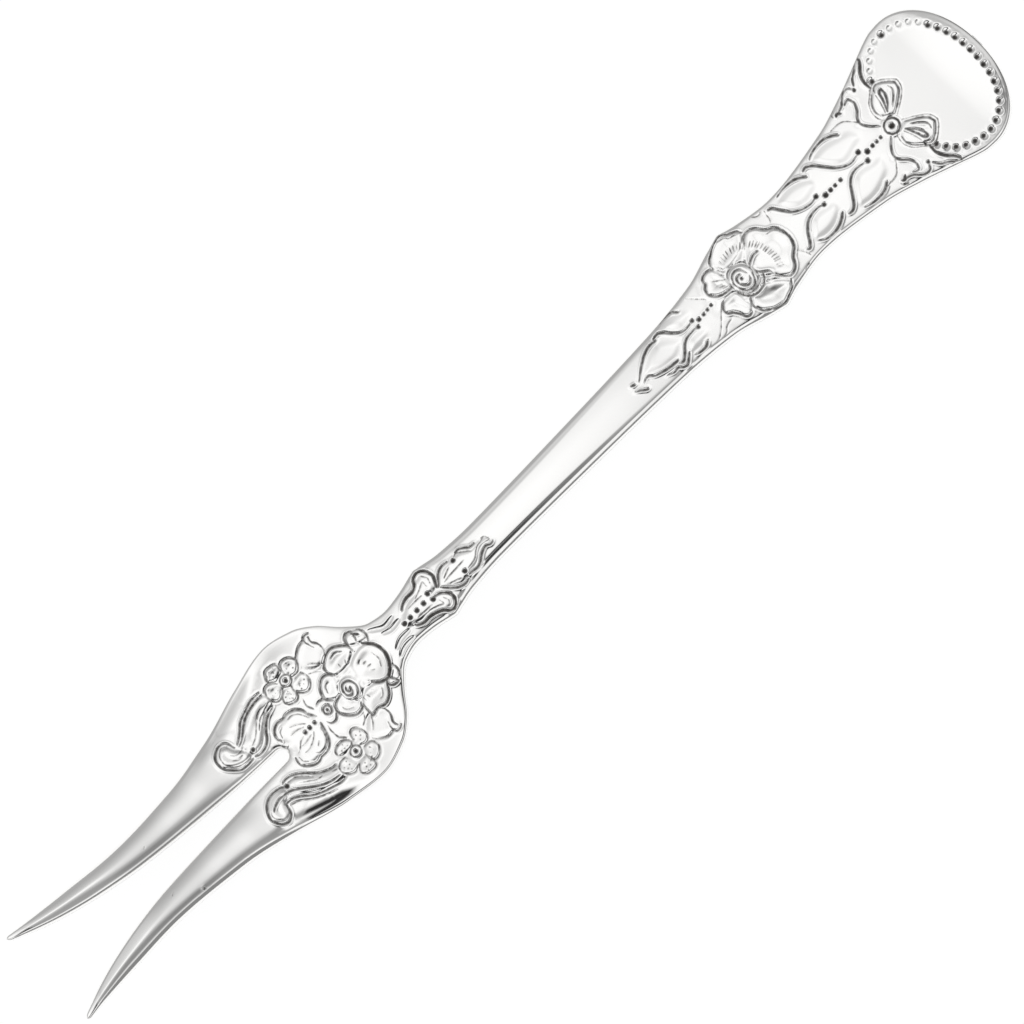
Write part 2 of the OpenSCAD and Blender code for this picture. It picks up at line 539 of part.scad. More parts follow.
// A scroll runs from the bowl on to each tine.
scroll_body = [[-3.6, 7.4], [-3.4, 9.3], [-0.6, 8.8], [2.6, 7.2], [4.6, 5.4], [3.4, 3.8], [1.8, 3.8],
    [-1.4, 6.7]];
scroll_curl = [[3.6, 4.2], [6, 3.1], [8.3, 4.1], [9, 6.2], [7.5, 8], [5.8, 7.1], [5.4, 5.7]];
module scroll_raised()
    for (side = [1, -1]) {
        petal(x_root, flip(scroll_body, side), [0.6, 6.8 * side], 0.8);
        petal(x_root, flip(scroll_curl, side), [6.8, 5.4 * side], 0.9);
    }
module scroll_lines()
    for (side = [1, -1]) {
        line(x_root, flip([[-3.8, 9.5], [-0.4, 8.7], [2.2, 7.3], [4.6, 5.8], [5.7, 5.8], [5.9, 7.2],
            [7.4, 8.1], [8.8, 7.2], [9.2, 5.7], [8.2, 4], [6, 3.1], [4, 3.7]], side), line_w, 0, true);
        line(x_root, flip([[-3.4, 8.6], [-0.4, 7.9], [2.2, 5.8], [4.6, 4.6], [7.2, 4.9], [8.2, 6],
            [7.6, 7]], side), line_w, petal_h * 0.5);
        line(x_root, flip([[-4.2, 6.9], [-2, 6.5], [0.2, 4.5], [2.2, 3], [4, 3.1]], side));
        pit(x_root, [3.7, 3.9 * side], 0.42);
    }

module ornament_raised() {
    bow_raised();
    husks_raised();
    rose_raised();
    tip_leaf_raised();
    collar_raised();
    bowl_raised();
    scroll_raised();
}
module ornament_cut() {
    pearls();
    bow_lines();
    husks_lines();
    rose_lines();
    collar_lines();
    bowl_lines();
    scroll_lines();
}
module fork() {
    color("silver")
        difference() {
            union() {
                fork_body();
                ornament_raised();
            }
            ornament_cut();
        }
}
fork();
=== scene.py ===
"""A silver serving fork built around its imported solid: struck relief, polish and old tarnish.

The fork's sizes are millimetres in its own frame: +X towards the tines, +Y across and +Z up from the
face. The studio's sizes and all finished meshes are in metres.
"""
import logging
import math
from dataclasses import dataclass
from enum import Enum
from functools import cached_property

import bmesh
import bpy
import numpy as np
from mathutils import Matrix, Vector

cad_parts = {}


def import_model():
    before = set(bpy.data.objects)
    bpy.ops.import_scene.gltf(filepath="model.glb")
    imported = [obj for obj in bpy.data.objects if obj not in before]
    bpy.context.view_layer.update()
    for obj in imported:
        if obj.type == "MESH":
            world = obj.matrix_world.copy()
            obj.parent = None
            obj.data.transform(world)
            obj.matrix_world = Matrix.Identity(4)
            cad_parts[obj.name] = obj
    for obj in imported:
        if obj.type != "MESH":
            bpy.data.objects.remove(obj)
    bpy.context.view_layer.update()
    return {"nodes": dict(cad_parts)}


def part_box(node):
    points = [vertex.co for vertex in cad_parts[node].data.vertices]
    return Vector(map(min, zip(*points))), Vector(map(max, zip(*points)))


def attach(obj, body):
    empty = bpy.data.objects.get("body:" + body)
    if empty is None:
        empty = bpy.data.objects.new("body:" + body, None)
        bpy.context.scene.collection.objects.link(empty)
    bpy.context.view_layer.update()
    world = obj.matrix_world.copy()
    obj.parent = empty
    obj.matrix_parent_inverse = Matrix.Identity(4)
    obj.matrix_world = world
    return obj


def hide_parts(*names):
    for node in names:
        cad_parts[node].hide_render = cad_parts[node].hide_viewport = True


MM = 0.001
GOLDEN = math.pi * (3 - math.sqrt(5))
BODY = "root"
NODE = "fork"

# How far each group of ornament is moved from where its points are drawn
HANDLE_SHIFT = (0.5, -0.25)
ROSE_SHIFT = (0.45, 0.1)
BOWL_SHIFT = (0.1, 0.2)

Point = tuple[float, float]
Path = tuple[Point, ...]

log = logging.getLogger("fork")


def ramp(low: float, high: float, x: np.ndarray) -> np.ndarray:
    """A smooth step from 0 at low to 1 at high."""
    t = np.clip((x - low) / (high - low), 0.0, 1.0)
    return t * t * (3 - 2 * t)


def spaced(marks: list[Point]) -> np.ndarray:
    """Places along a line whose spacing changes from mark to mark.

    Args:
        marks: pairs of a place and the spacing wanted there.

    Returns:
        The places, up to but not including the last mark.
    """
    rows = []
    for (a, step_a), (b, step_b) in zip(marks[:-1], marks[1:]):
        count = max(1, round((b - a) / ((step_a + step_b) / 2)))
        rows.append(a + (b - a) * np.arange(count) / count)
    return np.concatenate(rows)


def mirrored(path: Path) -> Path:
    """The same path on the other side of the fork's middle line."""
    return tuple((x, -y) for x, y in path)


def smooth_path(path: Path, step: float = 0.2, closed: bool = False) -> np.ndarray:
    """A smooth line through given points.

    Args:
        path: the points, in millimetres.
        step: the longest distance between two points of the result.
        closed: whether the line comes back to its first point.

    Returns:
        The line's points, one row each.
    """
    p = np.array(path, float)
    if closed:
        p = np.vstack([p[-1], p, p[0], p[1]])
    else:
        p = np.vstack([2 * p[0] - p[1], p, 2 * p[-1] - p[-2]])
    rows = []
    for a, b, c, d in zip(p[:-3], p[1:-2], p[2:-1], p[3:]):
        count = max(2, int(np.hypot(*(c - b)) / step) + 1)
        t = np.linspace(0, 1, count, endpoint=False)[:, None]
        curve = 2 * b + (c - a) * t + (2 * a - 5 * b + 4 * c - d) * t**2
        rows.append(0.5 * (curve + (3 * b - a - 3 * c + d) * t**3))
    rows.append(p[-2][None])
    return np.vstack(rows)


class Profile:
    """A smooth curve through points (x, value) that never overshoots them."""

    def __init__(self, points: list[Point]) -> None:
        """Works out the curve's slopes from its points.

        Args:
            points: pairs of x and value, in order of x.
        """
        self.x, self.y = np.array(points, float).T
        rise = np.diff(self.y) / np.diff(self.x)
        both = rise[:-1] * rise[1:]
        total = np.where(both > 0, rise[:-1] + rise[1:], 1.0)
        inner = np.where(both > 0, 2 * both / total, 0.0)
        self.slope = np.concatenate([rise[:1], inner, rise[-1:]])

    def __call__(self, x: np.ndarray) -> np.ndarray:
        """The curve's value at each x.

        Args:
            x: where to read the curve.

        Returns:
            The values, held level past both ends.
        """
        x = np.clip(x, self.x[0], self.x[-1])
        i = np.clip(np.searchsorted(self.x, x, side="right") - 1, 0, len(self.x) - 2)
        h = self.x[i + 1] - self.x[i]
        t = (x - self.x[i]) / h
        ends = self.y[i] * (1 + 2 * t) * (1 - t) ** 2 + self.y[i + 1] * t * t * (3 - 2 * t)
        return ends + h * self.slope[i] * t * (1 - t) ** 2 - h * self.slope[i + 1] * t * t * (1 - t)


@dataclass
class Blank:
    """The forged fork before its ornament is struck: its outline, thickness and bends.

    The lengths run from x_end, the handle's end, to x_tip, the tines' points, as the solid has them.
    """

    x_end: float
    x_tip: float
    handle_len: float = 50.1
    neck_len: float = 70.3
    collar_len: float = 25.2
    bowl_len: float = 8.5
    end_w: float = 26.6
    end_r: float = 9.3
    end_power: float = 2.1
    grip_w: float = 12.0
    rose_w: float = 15.7
    neck_w: float = 7.2
    collar_w: float = 9.8
    waist_w: float = 7.3
    bowl_w: float = 27.5
    tines_w: float = 15.4
    tip_spread: float = 17.6
    slot_w: float = 2.3
    point_w: float = 0.8
    point_r: float = 0.6
    end_t: float = 1.9
    neck_t: float = 2.8
    bowl_t: float = 1.9
    tip_t: float = 0.6
    tail_rise: float = 0.3
    neck_rise: float = 4.9
    tip_rise: float = 15.4
    tail_len: float = 9.0
    flat_len: float = 18.0
    dish: float = 1.05
    tine_crown: float = 0.6
    neck_crown: float = 0.2
    crown_power: float = 2.3
    gable_power: float = 1.4
    bevel_slope: float = 0.5
    edge_r: float = 0.3
    lip_w: float = 0.6
    back_r: float = 0.45
    slot_lip: float = 0.3

    def __post_init__(self) -> None:
        """Works out the places along the fork."""
        self.x_wide = self.x_end + self.end_r
        self.x_rose = self.x_end + self.handle_len
        self.x_collar = self.x_rose + self.neck_len
        self.x_bowl = self.x_collar + self.collar_len
        self.x_root = self.x_bowl + self.bowl_len

    @cached_property
    def side(self) -> tuple[Profile, Profile, Profile]:
        """Half the width in three stretches, which meet in the corners of the rose boss and collar.

        Returns:
            The stretches of the handle, the neck and the bowl.
        """
        grip = Profile([
            (self.x_wide, self.end_w / 2),
            (self.x_wide + 1.6, self.end_w / 2 - 0.1),
            (self.x_wide + 3.2, self.end_w / 2 - 0.5),
            (self.x_wide + 6.2, self.end_w / 2 - 1.6),
            (self.x_wide + 12.5, (self.end_w + self.grip_w) / 4 - 0.25),
            (self.x_wide + 18.7, self.grip_w / 2 + 1.6),
            (self.x_rose - 9.6, self.grip_w / 2),
            (self.x_rose - 3.4, self.rose_w / 2 - 0.95),
            (self.x_rose, self.rose_w / 2)])
        neck = Profile([
            (self.x_rose, self.rose_w / 2),
            (self.x_rose + 2.9, self.rose_w / 2 - 0.75),
            (self.x_rose + 9.1, (self.rose_w + self.neck_w) / 4 - 0.35),
            (self.x_rose + 18.5, self.neck_w / 2 + 0.85),
            (self.x_rose + 37.5, self.neck_w / 2 + 0.3),
            (self.x_collar - 11.3, self.neck_w / 2),
            (self.x_collar - 4.9, self.neck_w / 2 + 0.35),
            (self.x_collar, self.collar_w / 2)])
        bowl = Profile([
            (self.x_collar, self.collar_w / 2),
            (self.x_collar + 4.3, self.waist_w / 2 + 0.3),
            (self.x_collar + 7.3, self.waist_w / 2),
            (self.x_bowl - 14.6, self.waist_w / 2 + 0.65),
            (self.x_bowl - 11.5, self.bowl_w / 2 - 6.9),
            (self.x_bowl - 8.4, self.bowl_w / 2 - 3.4),
            (self.x_bowl - 5.3, self.bowl_w / 2 - 1.3),
            (self.x_bowl, self.bowl_w / 2),
            (self.x_root - 1.2, self.bowl_w / 2 - 1.15),
            (self.x_root + 8.1, (self.bowl_w + self.tines_w) / 4 - 0.6),
            (self.x_root + 17.4, self.tines_w / 2 + 0.75),
            (self.x_root + 29.9, self.tines_w / 2),
            (self.x_tip - 11.6, self.tip_spread / 2 - 0.6),
            (self.x_tip - 2, self.tip_spread / 2 + 0.22),
            (self.x_tip, self.tip_spread / 2 + self.point_w / 2)])
        return grip, neck, bowl

    @cached_property
    def slot(self) -> Profile:
        """Half the gap between the tines, past the slot's round root."""
        r = self.slot_w / 2
        return Profile([
            (self.x_root + r, r),
            (self.x_root + 8.4, r + 0.15),
            (self.x_root + 18.4, r + 0.65),
            (self.x_root + 28.4, r + 1.4),
            (self.x_tip - 15.5, self.tip_spread / 2 - 5.2),
            (self.x_tip - 9.5, self.tip_spread / 2 - 3.85),
            (self.x_tip - 4.5, self.tip_spread / 2 - 2.3),
            (self.x_tip, self.tip_spread / 2 - self.point_w / 2)])

    @cached_property
    def back_line(self) -> Profile:
        """Height of the back at the fork's middle line."""
        neck, tip = self.neck_rise, self.tip_rise
        return Profile([
            (self.x_end, self.tail_rise),
            (self.x_end + self.tail_len, 0),
            (self.x_end + self.flat_len, 0),
            (self.x_rose - 8, neck * 0.22),
            (self.x_rose + 22, neck * 0.53),
            (self.x_collar - 10, neck * 0.94),
            (self.x_collar + 2, neck),
            (self.x_collar + 9, neck * 0.9),
            (self.x_bowl - 11, neck * 0.66),
            (self.x_bowl - 5, neck * 0.3),
            (self.x_bowl + 1, neck * 0.09),
            (self.x_root - 0.5, 0),
            (self.x_root + 2, tip * 0.008),
            (self.x_root + 8.4, tip * 0.078),
            (self.x_root + 20.4, tip * 0.31),
            (self.x_root + 32.4, tip * 0.6),
            (self.x_tip - 12, tip * 0.74),
            (self.x_tip, tip)])

    @cached_property
    def metal(self) -> Profile:
        """Thickness of the metal at the middle line."""
        return Profile([
            (self.x_end, self.end_t),
            (self.x_end + self.flat_len, self.end_t),
            (self.x_rose, (self.end_t + self.neck_t) / 2),
            (self.x_rose + 30, self.neck_t),
            (self.x_collar + 5, self.neck_t),
            (self.x_bowl - 4, self.bowl_t),
            (self.x_root + 12, self.bowl_t),
            (self.x_tip - 16, self.bowl_t * 0.85),
            (self.x_tip - 4, (self.bowl_t + self.tip_t) / 2),
            (self.x_tip, self.tip_t)])

    @cached_property
    def bevel(self) -> Profile:
        """Width of the bevel along the face's edge."""
        return Profile([
            (self.x_end, 0.7),
            (self.x_end + 20, 0.8),
            (self.x_rose - 4, 0.75),
            (self.x_rose + 14, 1.0),
            (self.x_collar - 12, 1.15),
            (self.x_collar + 4, 0.9),
            (self.x_bowl - 12, 0.65),
            (self.x_bowl, 0.55),
            (self.x_root + 10, 1.0),
            (self.x_tip - 12, 1.0),
            (self.x_tip, 0.4)])

    @cached_property
    def facet(self) -> Profile:
        """Width of the sloping shoulder inside the bevel."""
        return Profile([
            (self.x_end, 1.4),
            (self.x_end + 8, 1.2),
            (self.x_end + 15, 0.3),
            (self.x_rose + 24, 0.15),
            (self.x_collar - 24, 0.42),
            (self.x_collar - 6, 0.42),
            (self.x_collar + 2, 0.2),
            (self.x_bowl - 14, 0.9),
            (self.x_bowl + 2, 0.9),
            (self.x_root - 1, 2.2),
            (self.x_root + 8, 1.7),
            (self.x_root + 16, 0.9),
            (self.x_tip, 0.9)])

    @cached_property
    def facet_slope(self) -> Profile:
        """How steep the shoulder gets where it meets the bevel."""
        return Profile([
            (self.x_end, 0.5),
            (self.x_end + 2.5, 0.42),
            (self.x_end + 7, 0.08),
            (self.x_rose + 10, 0.05),
            (self.x_rose + 24, 0.15),
            (self.x_collar - 24, 0.4),
            (self.x_collar - 6, 0.42),
            (self.x_collar + 2, 0.1),
            (self.x_bowl - 10, 0.04),
            (self.x_bowl - 1, 0.04),
            (self.x_root - 6, 0.18),
            (self.x_root - 1, 0.64),
            (self.x_root + 6, 0.55),
            (self.x_root + 12, 0.12),
            (self.x_tip, 0.0)])

    def half_width(self, x: np.ndarray) -> np.ndarray:
        """Half the fork's width.

        Args:
            x: places along the fork.

        Returns:
            The half width at each place.
        """
        grip, neck, bowl = self.side
        reach = np.clip((self.x_wide - x) / self.end_r, 0, 1)
        end = self.end_w / 2 * np.clip(1 - reach**self.end_power, 0, 1) ** (1 / self.end_power)
        wide = np.where(x < self.x_rose, grip(x), np.where(x < self.x_collar, neck(x), bowl(x)))
        return np.where(x < self.x_wide, end, wide)

    def half_gap(self, x: np.ndarray) -> np.ndarray:
        """Half the gap between the tines.

        Args:
            x: places along the fork.

        Returns:
            Half the gap at each place, 0 where there is none.
        """
        r = self.slot_w / 2
        root = np.sqrt(np.clip(r * r - (self.x_root + r - x) ** 2, 0, None))
        gap = np.where(x < self.x_root + r, root, self.slot(x))
        return np.where(x <= self.x_root, 0.0, gap)

    def sides_of(self, x: np.ndarray) -> tuple[np.ndarray, np.ndarray]:
        """The outer and inner edge of each half, drawn together at the rounded points.

        Args:
            x: places along the fork.

        Returns:
            The distance of both edges from the middle line.
        """
        outer, inner = self.half_width(x), self.half_gap(x)
        late = np.clip((x - self.x_tip + self.point_r) / self.point_r, 0, 1)
        keep = np.maximum(np.sqrt(1 - late**2), 0.25)
        middle = (outer + inner) / 2
        return middle + (outer - middle) * keep, middle - (middle - inner) * keep

    def across(self, x: np.ndarray, y: np.ndarray) -> np.ndarray:
        """Share of the way from the middle line to the edge."""
        return np.abs(y) / np.maximum(self.half_width(x), 0.5)

    def dished(self, x: np.ndarray, y: np.ndarray) -> np.ndarray:
        """Rise of the bowl's sides above its middle.

        Args:
            x: places along the fork.
            y: places across it.

        Returns:
            The rise at each point.
        """
        outer, inner = self.half_width(x), self.half_gap(x)
        along = ramp(self.x_bowl - 12, self.x_bowl, x) * (1 - ramp(self.x_root, self.x_root + 32, x))
        flat = ramp(self.x_root - 3, self.x_root + 7, x)
        own = np.abs(y) + ((outer + inner) / 2 - np.abs(y)) * flat
        return self.dish * along * (own / np.maximum(outer, 0.5)) ** 2

    def crowned(self, x: np.ndarray, y: np.ndarray) -> np.ndarray:
        """Crown across the face: one ridge to each tine, and a slight fall to the handle's edges.

        Args:
            x: places along the fork.
            y: places across it.

        Returns:
            The rise, or the fall if negative, at each point.
        """
        outer, inner = self.half_width(x), self.half_gap(x)
        half = np.maximum(0.2, (outer - inner) / 2)
        off = np.clip(np.abs(np.abs(y) - (outer + inner) / 2) / half, 0, 1)
        gable = ramp(self.x_tip - 26, self.x_tip - 10, x)
        shape = (1 - off**self.crown_power) * (1 - gable) + (1 - off**self.gable_power) * gable
        tine = ramp(self.x_root + 2, self.x_root + 14, x) * (1 - ramp(self.x_tip - 3, self.x_tip, x))
        tine = tine * np.minimum(1, half / 2.2)
        handle = ramp(self.x_end, self.x_end + 6, x) - ramp(self.x_collar + 8, self.x_bowl - 8, x)
        return self.tine_crown * tine * shape - self.neck_crown * handle * self.across(x, y) ** 2

    def edge_drop(self, x: np.ndarray, inset: np.ndarray, width: np.ndarray) -> np.ndarray:
        """How far the bevel and rounded edge lie below the face.

        Args:
            x: places along the fork.
            inset: distance of each point from the edge.
            width: width of the bevel there.

        Returns:
            The drop at each point.
        """
        soft = 0.45 * width + 1e-6
        into = width - inset
        flat = np.where(into > soft, into - soft / 2, np.clip(into, 0, None) ** 2 / (2 * soft))
        near = np.clip(self.edge_r - np.clip(inset, 0, None), 0, self.edge_r)
        round_off = self.edge_r - np.sqrt(self.edge_r**2 - near**2)
        drop = self.bevel_slope * flat + round_off
        most = self.bevel_slope * width * 0.85 + self.edge_r
        return drop * np.minimum(1, self.metal(x) * 0.42 / most)

    def face(self, x: np.ndarray, y: np.ndarray) -> np.ndarray:
        """Height of the plain face."""
        return self.back_line(x) + self.metal(x) + self.dished(x, y) + self.crowned(x, y)

    def back(self, x: np.ndarray, y: np.ndarray) -> np.ndarray:
        """Height of the plain back."""
        return self.back_line(x) + self.dished(x, y)

    def outline_inset(self, x: np.ndarray, y: np.ndarray, inner: bool = False) -> np.ndarray:
        """Distance of points from the outline, or from the slot's edge, seen from above.

        Args:
            x: places along the fork.
            y: places across it.
            inner: whether the distance is to the slot instead.

        Returns:
            The distance of each point, at most 3.
        """
        start = self.x_root if inner else self.x_end
        turn = self.slot_w / 2 if inner else self.end_r
        bend = start + turn * (1 - np.cos(np.linspace(0, math.pi / 2, 60)))
        straight = np.arange(start + turn + 0.1, self.x_tip, 0.12)
        xs = np.concatenate([bend, straight, [self.x_tip]])
        ys = self.sides_of(xs)[1 if inner else 0]
        result = np.full(x.shape, 3.0)
        y = np.abs(y)
        window, reach = 2.5, 3.0
        for low in np.arange(self.x_end, self.x_tip + window, window):
            here = np.flatnonzero((x >= low) & (x < low + window))
            line = np.flatnonzero((xs > low - reach) & (xs < low + window + reach))
            if len(here) == 0 or len(line) < 2:
                continue
            best = np.full(len(here), 9.0)
            for k in line[:-1]:
                ax, ay = xs[k], ys[k]
                bx, by = xs[k + 1] - ax, ys[k + 1] - ay
                reached = (x[here] - ax) * bx + (y[here] - ay) * by
                t = np.clip(reached / (bx * bx + by * by + 1e-12), 0, 1)
                best = np.minimum(best, (x[here] - ax - t * bx) ** 2 + (y[here] - ay - t * by) ** 2)
            result[here] = np.minimum(3.0, np.sqrt(best))
        return result


class Tool(Enum):
    """The gravers that cut the ornament, each as width, depth, rim height and tarnished width.

    A tarnished width below 0 leaves only a trace.
    """

    GRAVER = (0.42, 0.16, 0.08, 0.27)
    BOLD = (0.56, 0.22, 0.1, 0.42)
    FINE = (0.32, 0.11, 0.05, 0.2)
    HAIR = (0.24, 0.06, 0.0, 0.13)
    FOLD = (0.95, 0.11, 0.03, -0.1)
    SCRATCH = (0.24, 0.02, 0.0, 0.02)


class Relief:
    """Height and tarnish of the struck ornament, as fine fields over the fork's plan."""

    def __init__(self, x_low: float, x_high: float, y_reach: float, pitch: float = 0.06) -> None:
        """Lays out the empty fields.

        Args:
            x_low: where they start along the fork.
            x_high: where they end.
            y_reach: how far they reach to either side.
            pitch: the distance between two samples.
        """
        self.pitch = pitch
        self.origin = np.zeros(2)
        self.x_low = x_low
        self.y_low = -y_reach
        columns = int((x_high - x_low) / pitch) + 2
        rows = int(2 * y_reach / pitch) + 2
        self.xs = x_low + pitch * np.arange(columns)
        self.ys = -y_reach + pitch * np.arange(rows)
        self.swells = np.zeros((columns, rows), np.float32)
        self.cuts = np.zeros_like(self.swells)
        self.rims = np.zeros_like(self.swells)
        self.dark = np.zeros_like(self.swells)

    def _window(self, low: np.ndarray, high: np.ndarray) -> tuple[slice, slice]:
        """The part of the fields between two corners.

        Args:
            low: the corner with the smaller x and y.
            high: the other corner.

        Returns:
            The rows and columns of that part.
        """
        a = np.clip(((low[0] - self.x_low) / self.pitch, (high[0] - self.x_low) / self.pitch + 2),
                    0, len(self.xs)).astype(int)
        b = np.clip(((low[1] - self.y_low) / self.pitch, (high[1] - self.y_low) / self.pitch + 2),
                    0, len(self.ys)).astype(int)
        return slice(a[0], a[1]), slice(b[0], b[1])

    def _near(self, line: np.ndarray, reach: float) -> tuple[tuple[slice, slice], np.ndarray, np.ndarray]:
        """Measures the fields' samples against a line.

        Args:
            line: the line's points.
            reach: how far from the line matters.

        Returns:
            The window that holds the line, and for each sample in it the distance to the line and the
            share of the line's length there.
        """
        window = self._window(line.min(0) - reach, line.max(0) + reach)
        shape = self.swells[window].shape
        distance = np.full(shape, 9.0, np.float32)
        share = np.zeros(shape, np.float32)
        count = len(line) - 1
        for k in range(count):
            a, b = line[k], line[k + 1]
            inner = self._window(np.minimum(a, b) - reach, np.maximum(a, b) + reach)
            local = tuple(slice(i.start - w.start, i.stop - w.start) for i, w in zip(inner, window))
            gx = (self.xs[inner[0]] - a[0])[:, None]
            gy = (self.ys[inner[1]] - a[1])[None, :]
            d = b - a
            t = np.clip((gx * d[0] + gy * d[1]) / (d @ d + 1e-12), 0, 1)
            away = np.hypot(gx - t * d[0], gy - t * d[1]).astype(np.float32)
            nearer = away < distance[local]
            distance[local] = np.where(nearer, away, distance[local])
            share[local] = np.where(nearer, (k + t) / count, share[local])
        return window, distance, share

    def cut(self, path: Path, tool: Tool = Tool.GRAVER, closed: bool = False, tilt: float = 0.0) -> None:
        """Cuts a line with raised lips into the face.

        Args:
            path: the line's points.
            tool: the graver that cuts it.
            closed: whether the line comes back to its first point.
            tilt: how much the line swells towards its end, or its start if negative.
        """
        width, depth, lift, tarnished = tool.value
        lip = 0.24
        line = smooth_path(path, closed=closed) + self.origin
        window, distance, share = self._near(line, width / 2 + 2.5 * lip)
        taper = np.ones_like(share) if closed else 0.45 + 0.55 * (4 * share * (1 - share)) ** 0.4
        taper = taper * np.clip(1 + tilt * (2 * share - 1), 0.3, 1.6)
        half = width / 2 * np.clip(taper, 0.3, 1.4)
        inside = np.clip(1 - (distance / half) ** 2, 0, 1)
        groove = inside ** 1.3
        rim = np.clip(1 - ((distance - half - lip * 0.45) / lip) ** 2, 0, 1) ** 2
        self.cuts[window] = np.maximum(self.cuts[window], depth * taper * groove)
        self.rims[window] = np.maximum(self.rims[window], lift * taper * rim)
        self._tarnish(window, tarnished / 2 * taper - distance)

    def cut_all(self, paths: tuple[Path, ...], tool: Tool = Tool.GRAVER, tilt: float = 0.0) -> None:
        """Cuts several open lines with one tool."""
        for path in paths:
            self.cut(path, tool, tilt=tilt)

    def punch(self, at: Point, r: float, depth: float = 0.0, tarnished: bool = True,
              painted_shade_offset: Point = (0.0, 0.0), spread: float = 0.9) -> None:
        """Punches a round hollow into the face.

        Args:
            at: its middle.
            r: its radius.
            depth: its depth, or 0 for the usual share of its radius.
            tarnished: whether old tarnish is left in it.
            painted_shade_offset: how far the tarnish is set off the hollow's middle, as painted shade that
                darkens one side of the hollow.
            spread: share of its radius that the tarnish fills.
        """
        depth = depth or 0.62 * r
        at = at + self.origin
        line = np.array([at, at + (1e-3, 0)])
        window, distance, _ = self._near(line, r + 0.55)
        inside = np.clip(1 - (distance / r) ** 2, 0, 1)
        rim = np.clip(1 - ((distance - r - 0.1) / 0.22) ** 2, 0, 1) ** 2
        self.cuts[window] = np.maximum(self.cuts[window], depth * inside ** 0.8)
        self.rims[window] = np.maximum(self.rims[window], 0.035 * rim)
        if tarnished:
            # With an offset, the tarnish covers one side of the hollow more than the other: painted shade.
            gx = (self.xs[window[0]] - at[0] - painted_shade_offset[0])[:, None]
            gy = (self.ys[window[1]] - at[1] - painted_shade_offset[1])[None, :]
            self._tarnish(window, np.minimum(spread * r - np.hypot(gx, gy), r - distance))

    def _tarnish(self, window: tuple[slice, slice], depth: np.ndarray) -> None:
        """Marks how far each point lies inside a tarnished stroke: 0.5 is its edge, 1 is 0.5 mm inside."""
        self.dark[window] = np.maximum(self.dark[window], np.clip(0.5 + depth, 0, 1))

    def swell(self, outline: Path, height: float = 0.16, cup: float = 0.0, edge: float = 0.55) -> None:
        """Raises a closed shape off the face, with a rounded rim and, if asked, a hollow inside.

        Args:
            outline: the shape's edge.
            height: how far its rim or crown stands up.
            cup: how far its middle falls back from the rim.
            edge: how wide its rounded rim is.
        """
        line = smooth_path(outline, closed=True) + self.origin
        low, high = line.min(0) - 0.3, line.max(0) + 0.3
        window = self._window(low, high)
        gx = self.xs[window[0]][:, None]
        gy = self.ys[window[1]][None, :]
        inside = np.zeros(self.swells[window].shape, bool)
        for a, b in zip(line[:-1], line[1:]):
            if a[1] == b[1]:
                continue
            crosses = (gy > min(a[1], b[1])) & (gy <= max(a[1], b[1]))
            at = a[0] + (gy - a[1]) * (b[0] - a[0]) / (b[1] - a[1])
            inside ^= crosses & (gx < at)
        distance = np.full(inside.shape, 9.0, np.float32)
        step = max(1, len(line) // 90)
        for a in line[::step]:
            distance = np.minimum(distance, np.hypot(gx - a[0], gy - a[1]))
        signed = np.where(inside, distance, -distance)
        shape = height * ramp(-0.15, edge, signed) - cup * ramp(edge, edge + 1.6, signed)
        old = self.swells[window]
        self.swells[window] = np.where(inside, shape, np.maximum(old, np.where(signed > -0.15, shape, 0)))

    def swell_all(self, outlines: tuple[Path, ...], height: float, cup: float = 0.0,
                  edge: float = 0.55) -> None:
        """Raises several closed shapes alike."""
        for outline in outlines:
            self.swell(outline, height, cup, edge)

    def dome(self, at: Point, r: float, height: float) -> None:
        """Lifts a broad round area under the ornament.

        Args:
            at: its middle.
            r: its radius.
            height: how high its middle rises.
        """
        at = at + self.origin
        window = self._window(at - r, at + r)
        gx = self.xs[window[0]][:, None] - at[0]
        gy = self.ys[window[1]][None, :] - at[1]
        inside = np.clip(1 - (gx**2 + gy**2) / r**2, 0, 1)
        self.swells[window] += (height * inside**1.5).astype(np.float32)

    @cached_property
    def height(self) -> np.ndarray:
        """The finished height field.

        Returns:
            The swellings, lips and cuts, softened as struck metal is.
        """
        clear = 1 - np.clip(self.cuts / 0.05, 0, 1)
        field = self.swells + self.rims * clear - self.cuts
        for _ in range(2):
            field[1:-1] = (field[:-2] + 2 * field[1:-1] + field[2:]) / 4
            field[:, 1:-1] = (field[:, :-2] + 2 * field[:, 1:-1] + field[:, 2:]) / 4
        return field

    @cached_property
    def busy(self) -> np.ndarray:
        """How fine a mesh each sample needs.

        Returns:
            2 where there is a line or pit, 1 where the face swells, 0 where it is plain.
        """
        gx, gy = np.gradient(self.height, self.pitch)
        lined = (self.cuts > 0.02) | (self.rims > 0.035)
        return np.where(lined, 2, np.hypot(gx, gy) > 0.08).astype(np.float32)

    def sample(self, field: np.ndarray, x: np.ndarray, y: np.ndarray) -> np.ndarray:
        """Reads a field between its samples.

        Args:
            field: the field.
            x: places along the fork.
            y: places across it.

        Returns:
            The value at each point, from its four nearest samples.
        """
        u = np.clip((x - self.x_low) / self.pitch, 0, len(self.xs) - 1.001)
        v = np.clip((y - self.y_low) / self.pitch, 0, len(self.ys) - 1.001)
        i, j = u.astype(int), v.astype(int)
        fu, fv = u - i, v - j
        low = field[i, j] * (1 - fu) + field[i + 1, j] * fu
        high = field[i, j + 1] * (1 - fu) + field[i + 1, j + 1] * fu
        return low * (1 - fv) + high * fv


def ring(centre: Point, r: float, count: int = 12) -> Path:
    """Points of a circle."""
    angles = [2 * math.pi * k / count for k in range(count)]
    return tuple((centre[0] + r * math.cos(a), centre[1] + r * math.sin(a)) for a in angles)


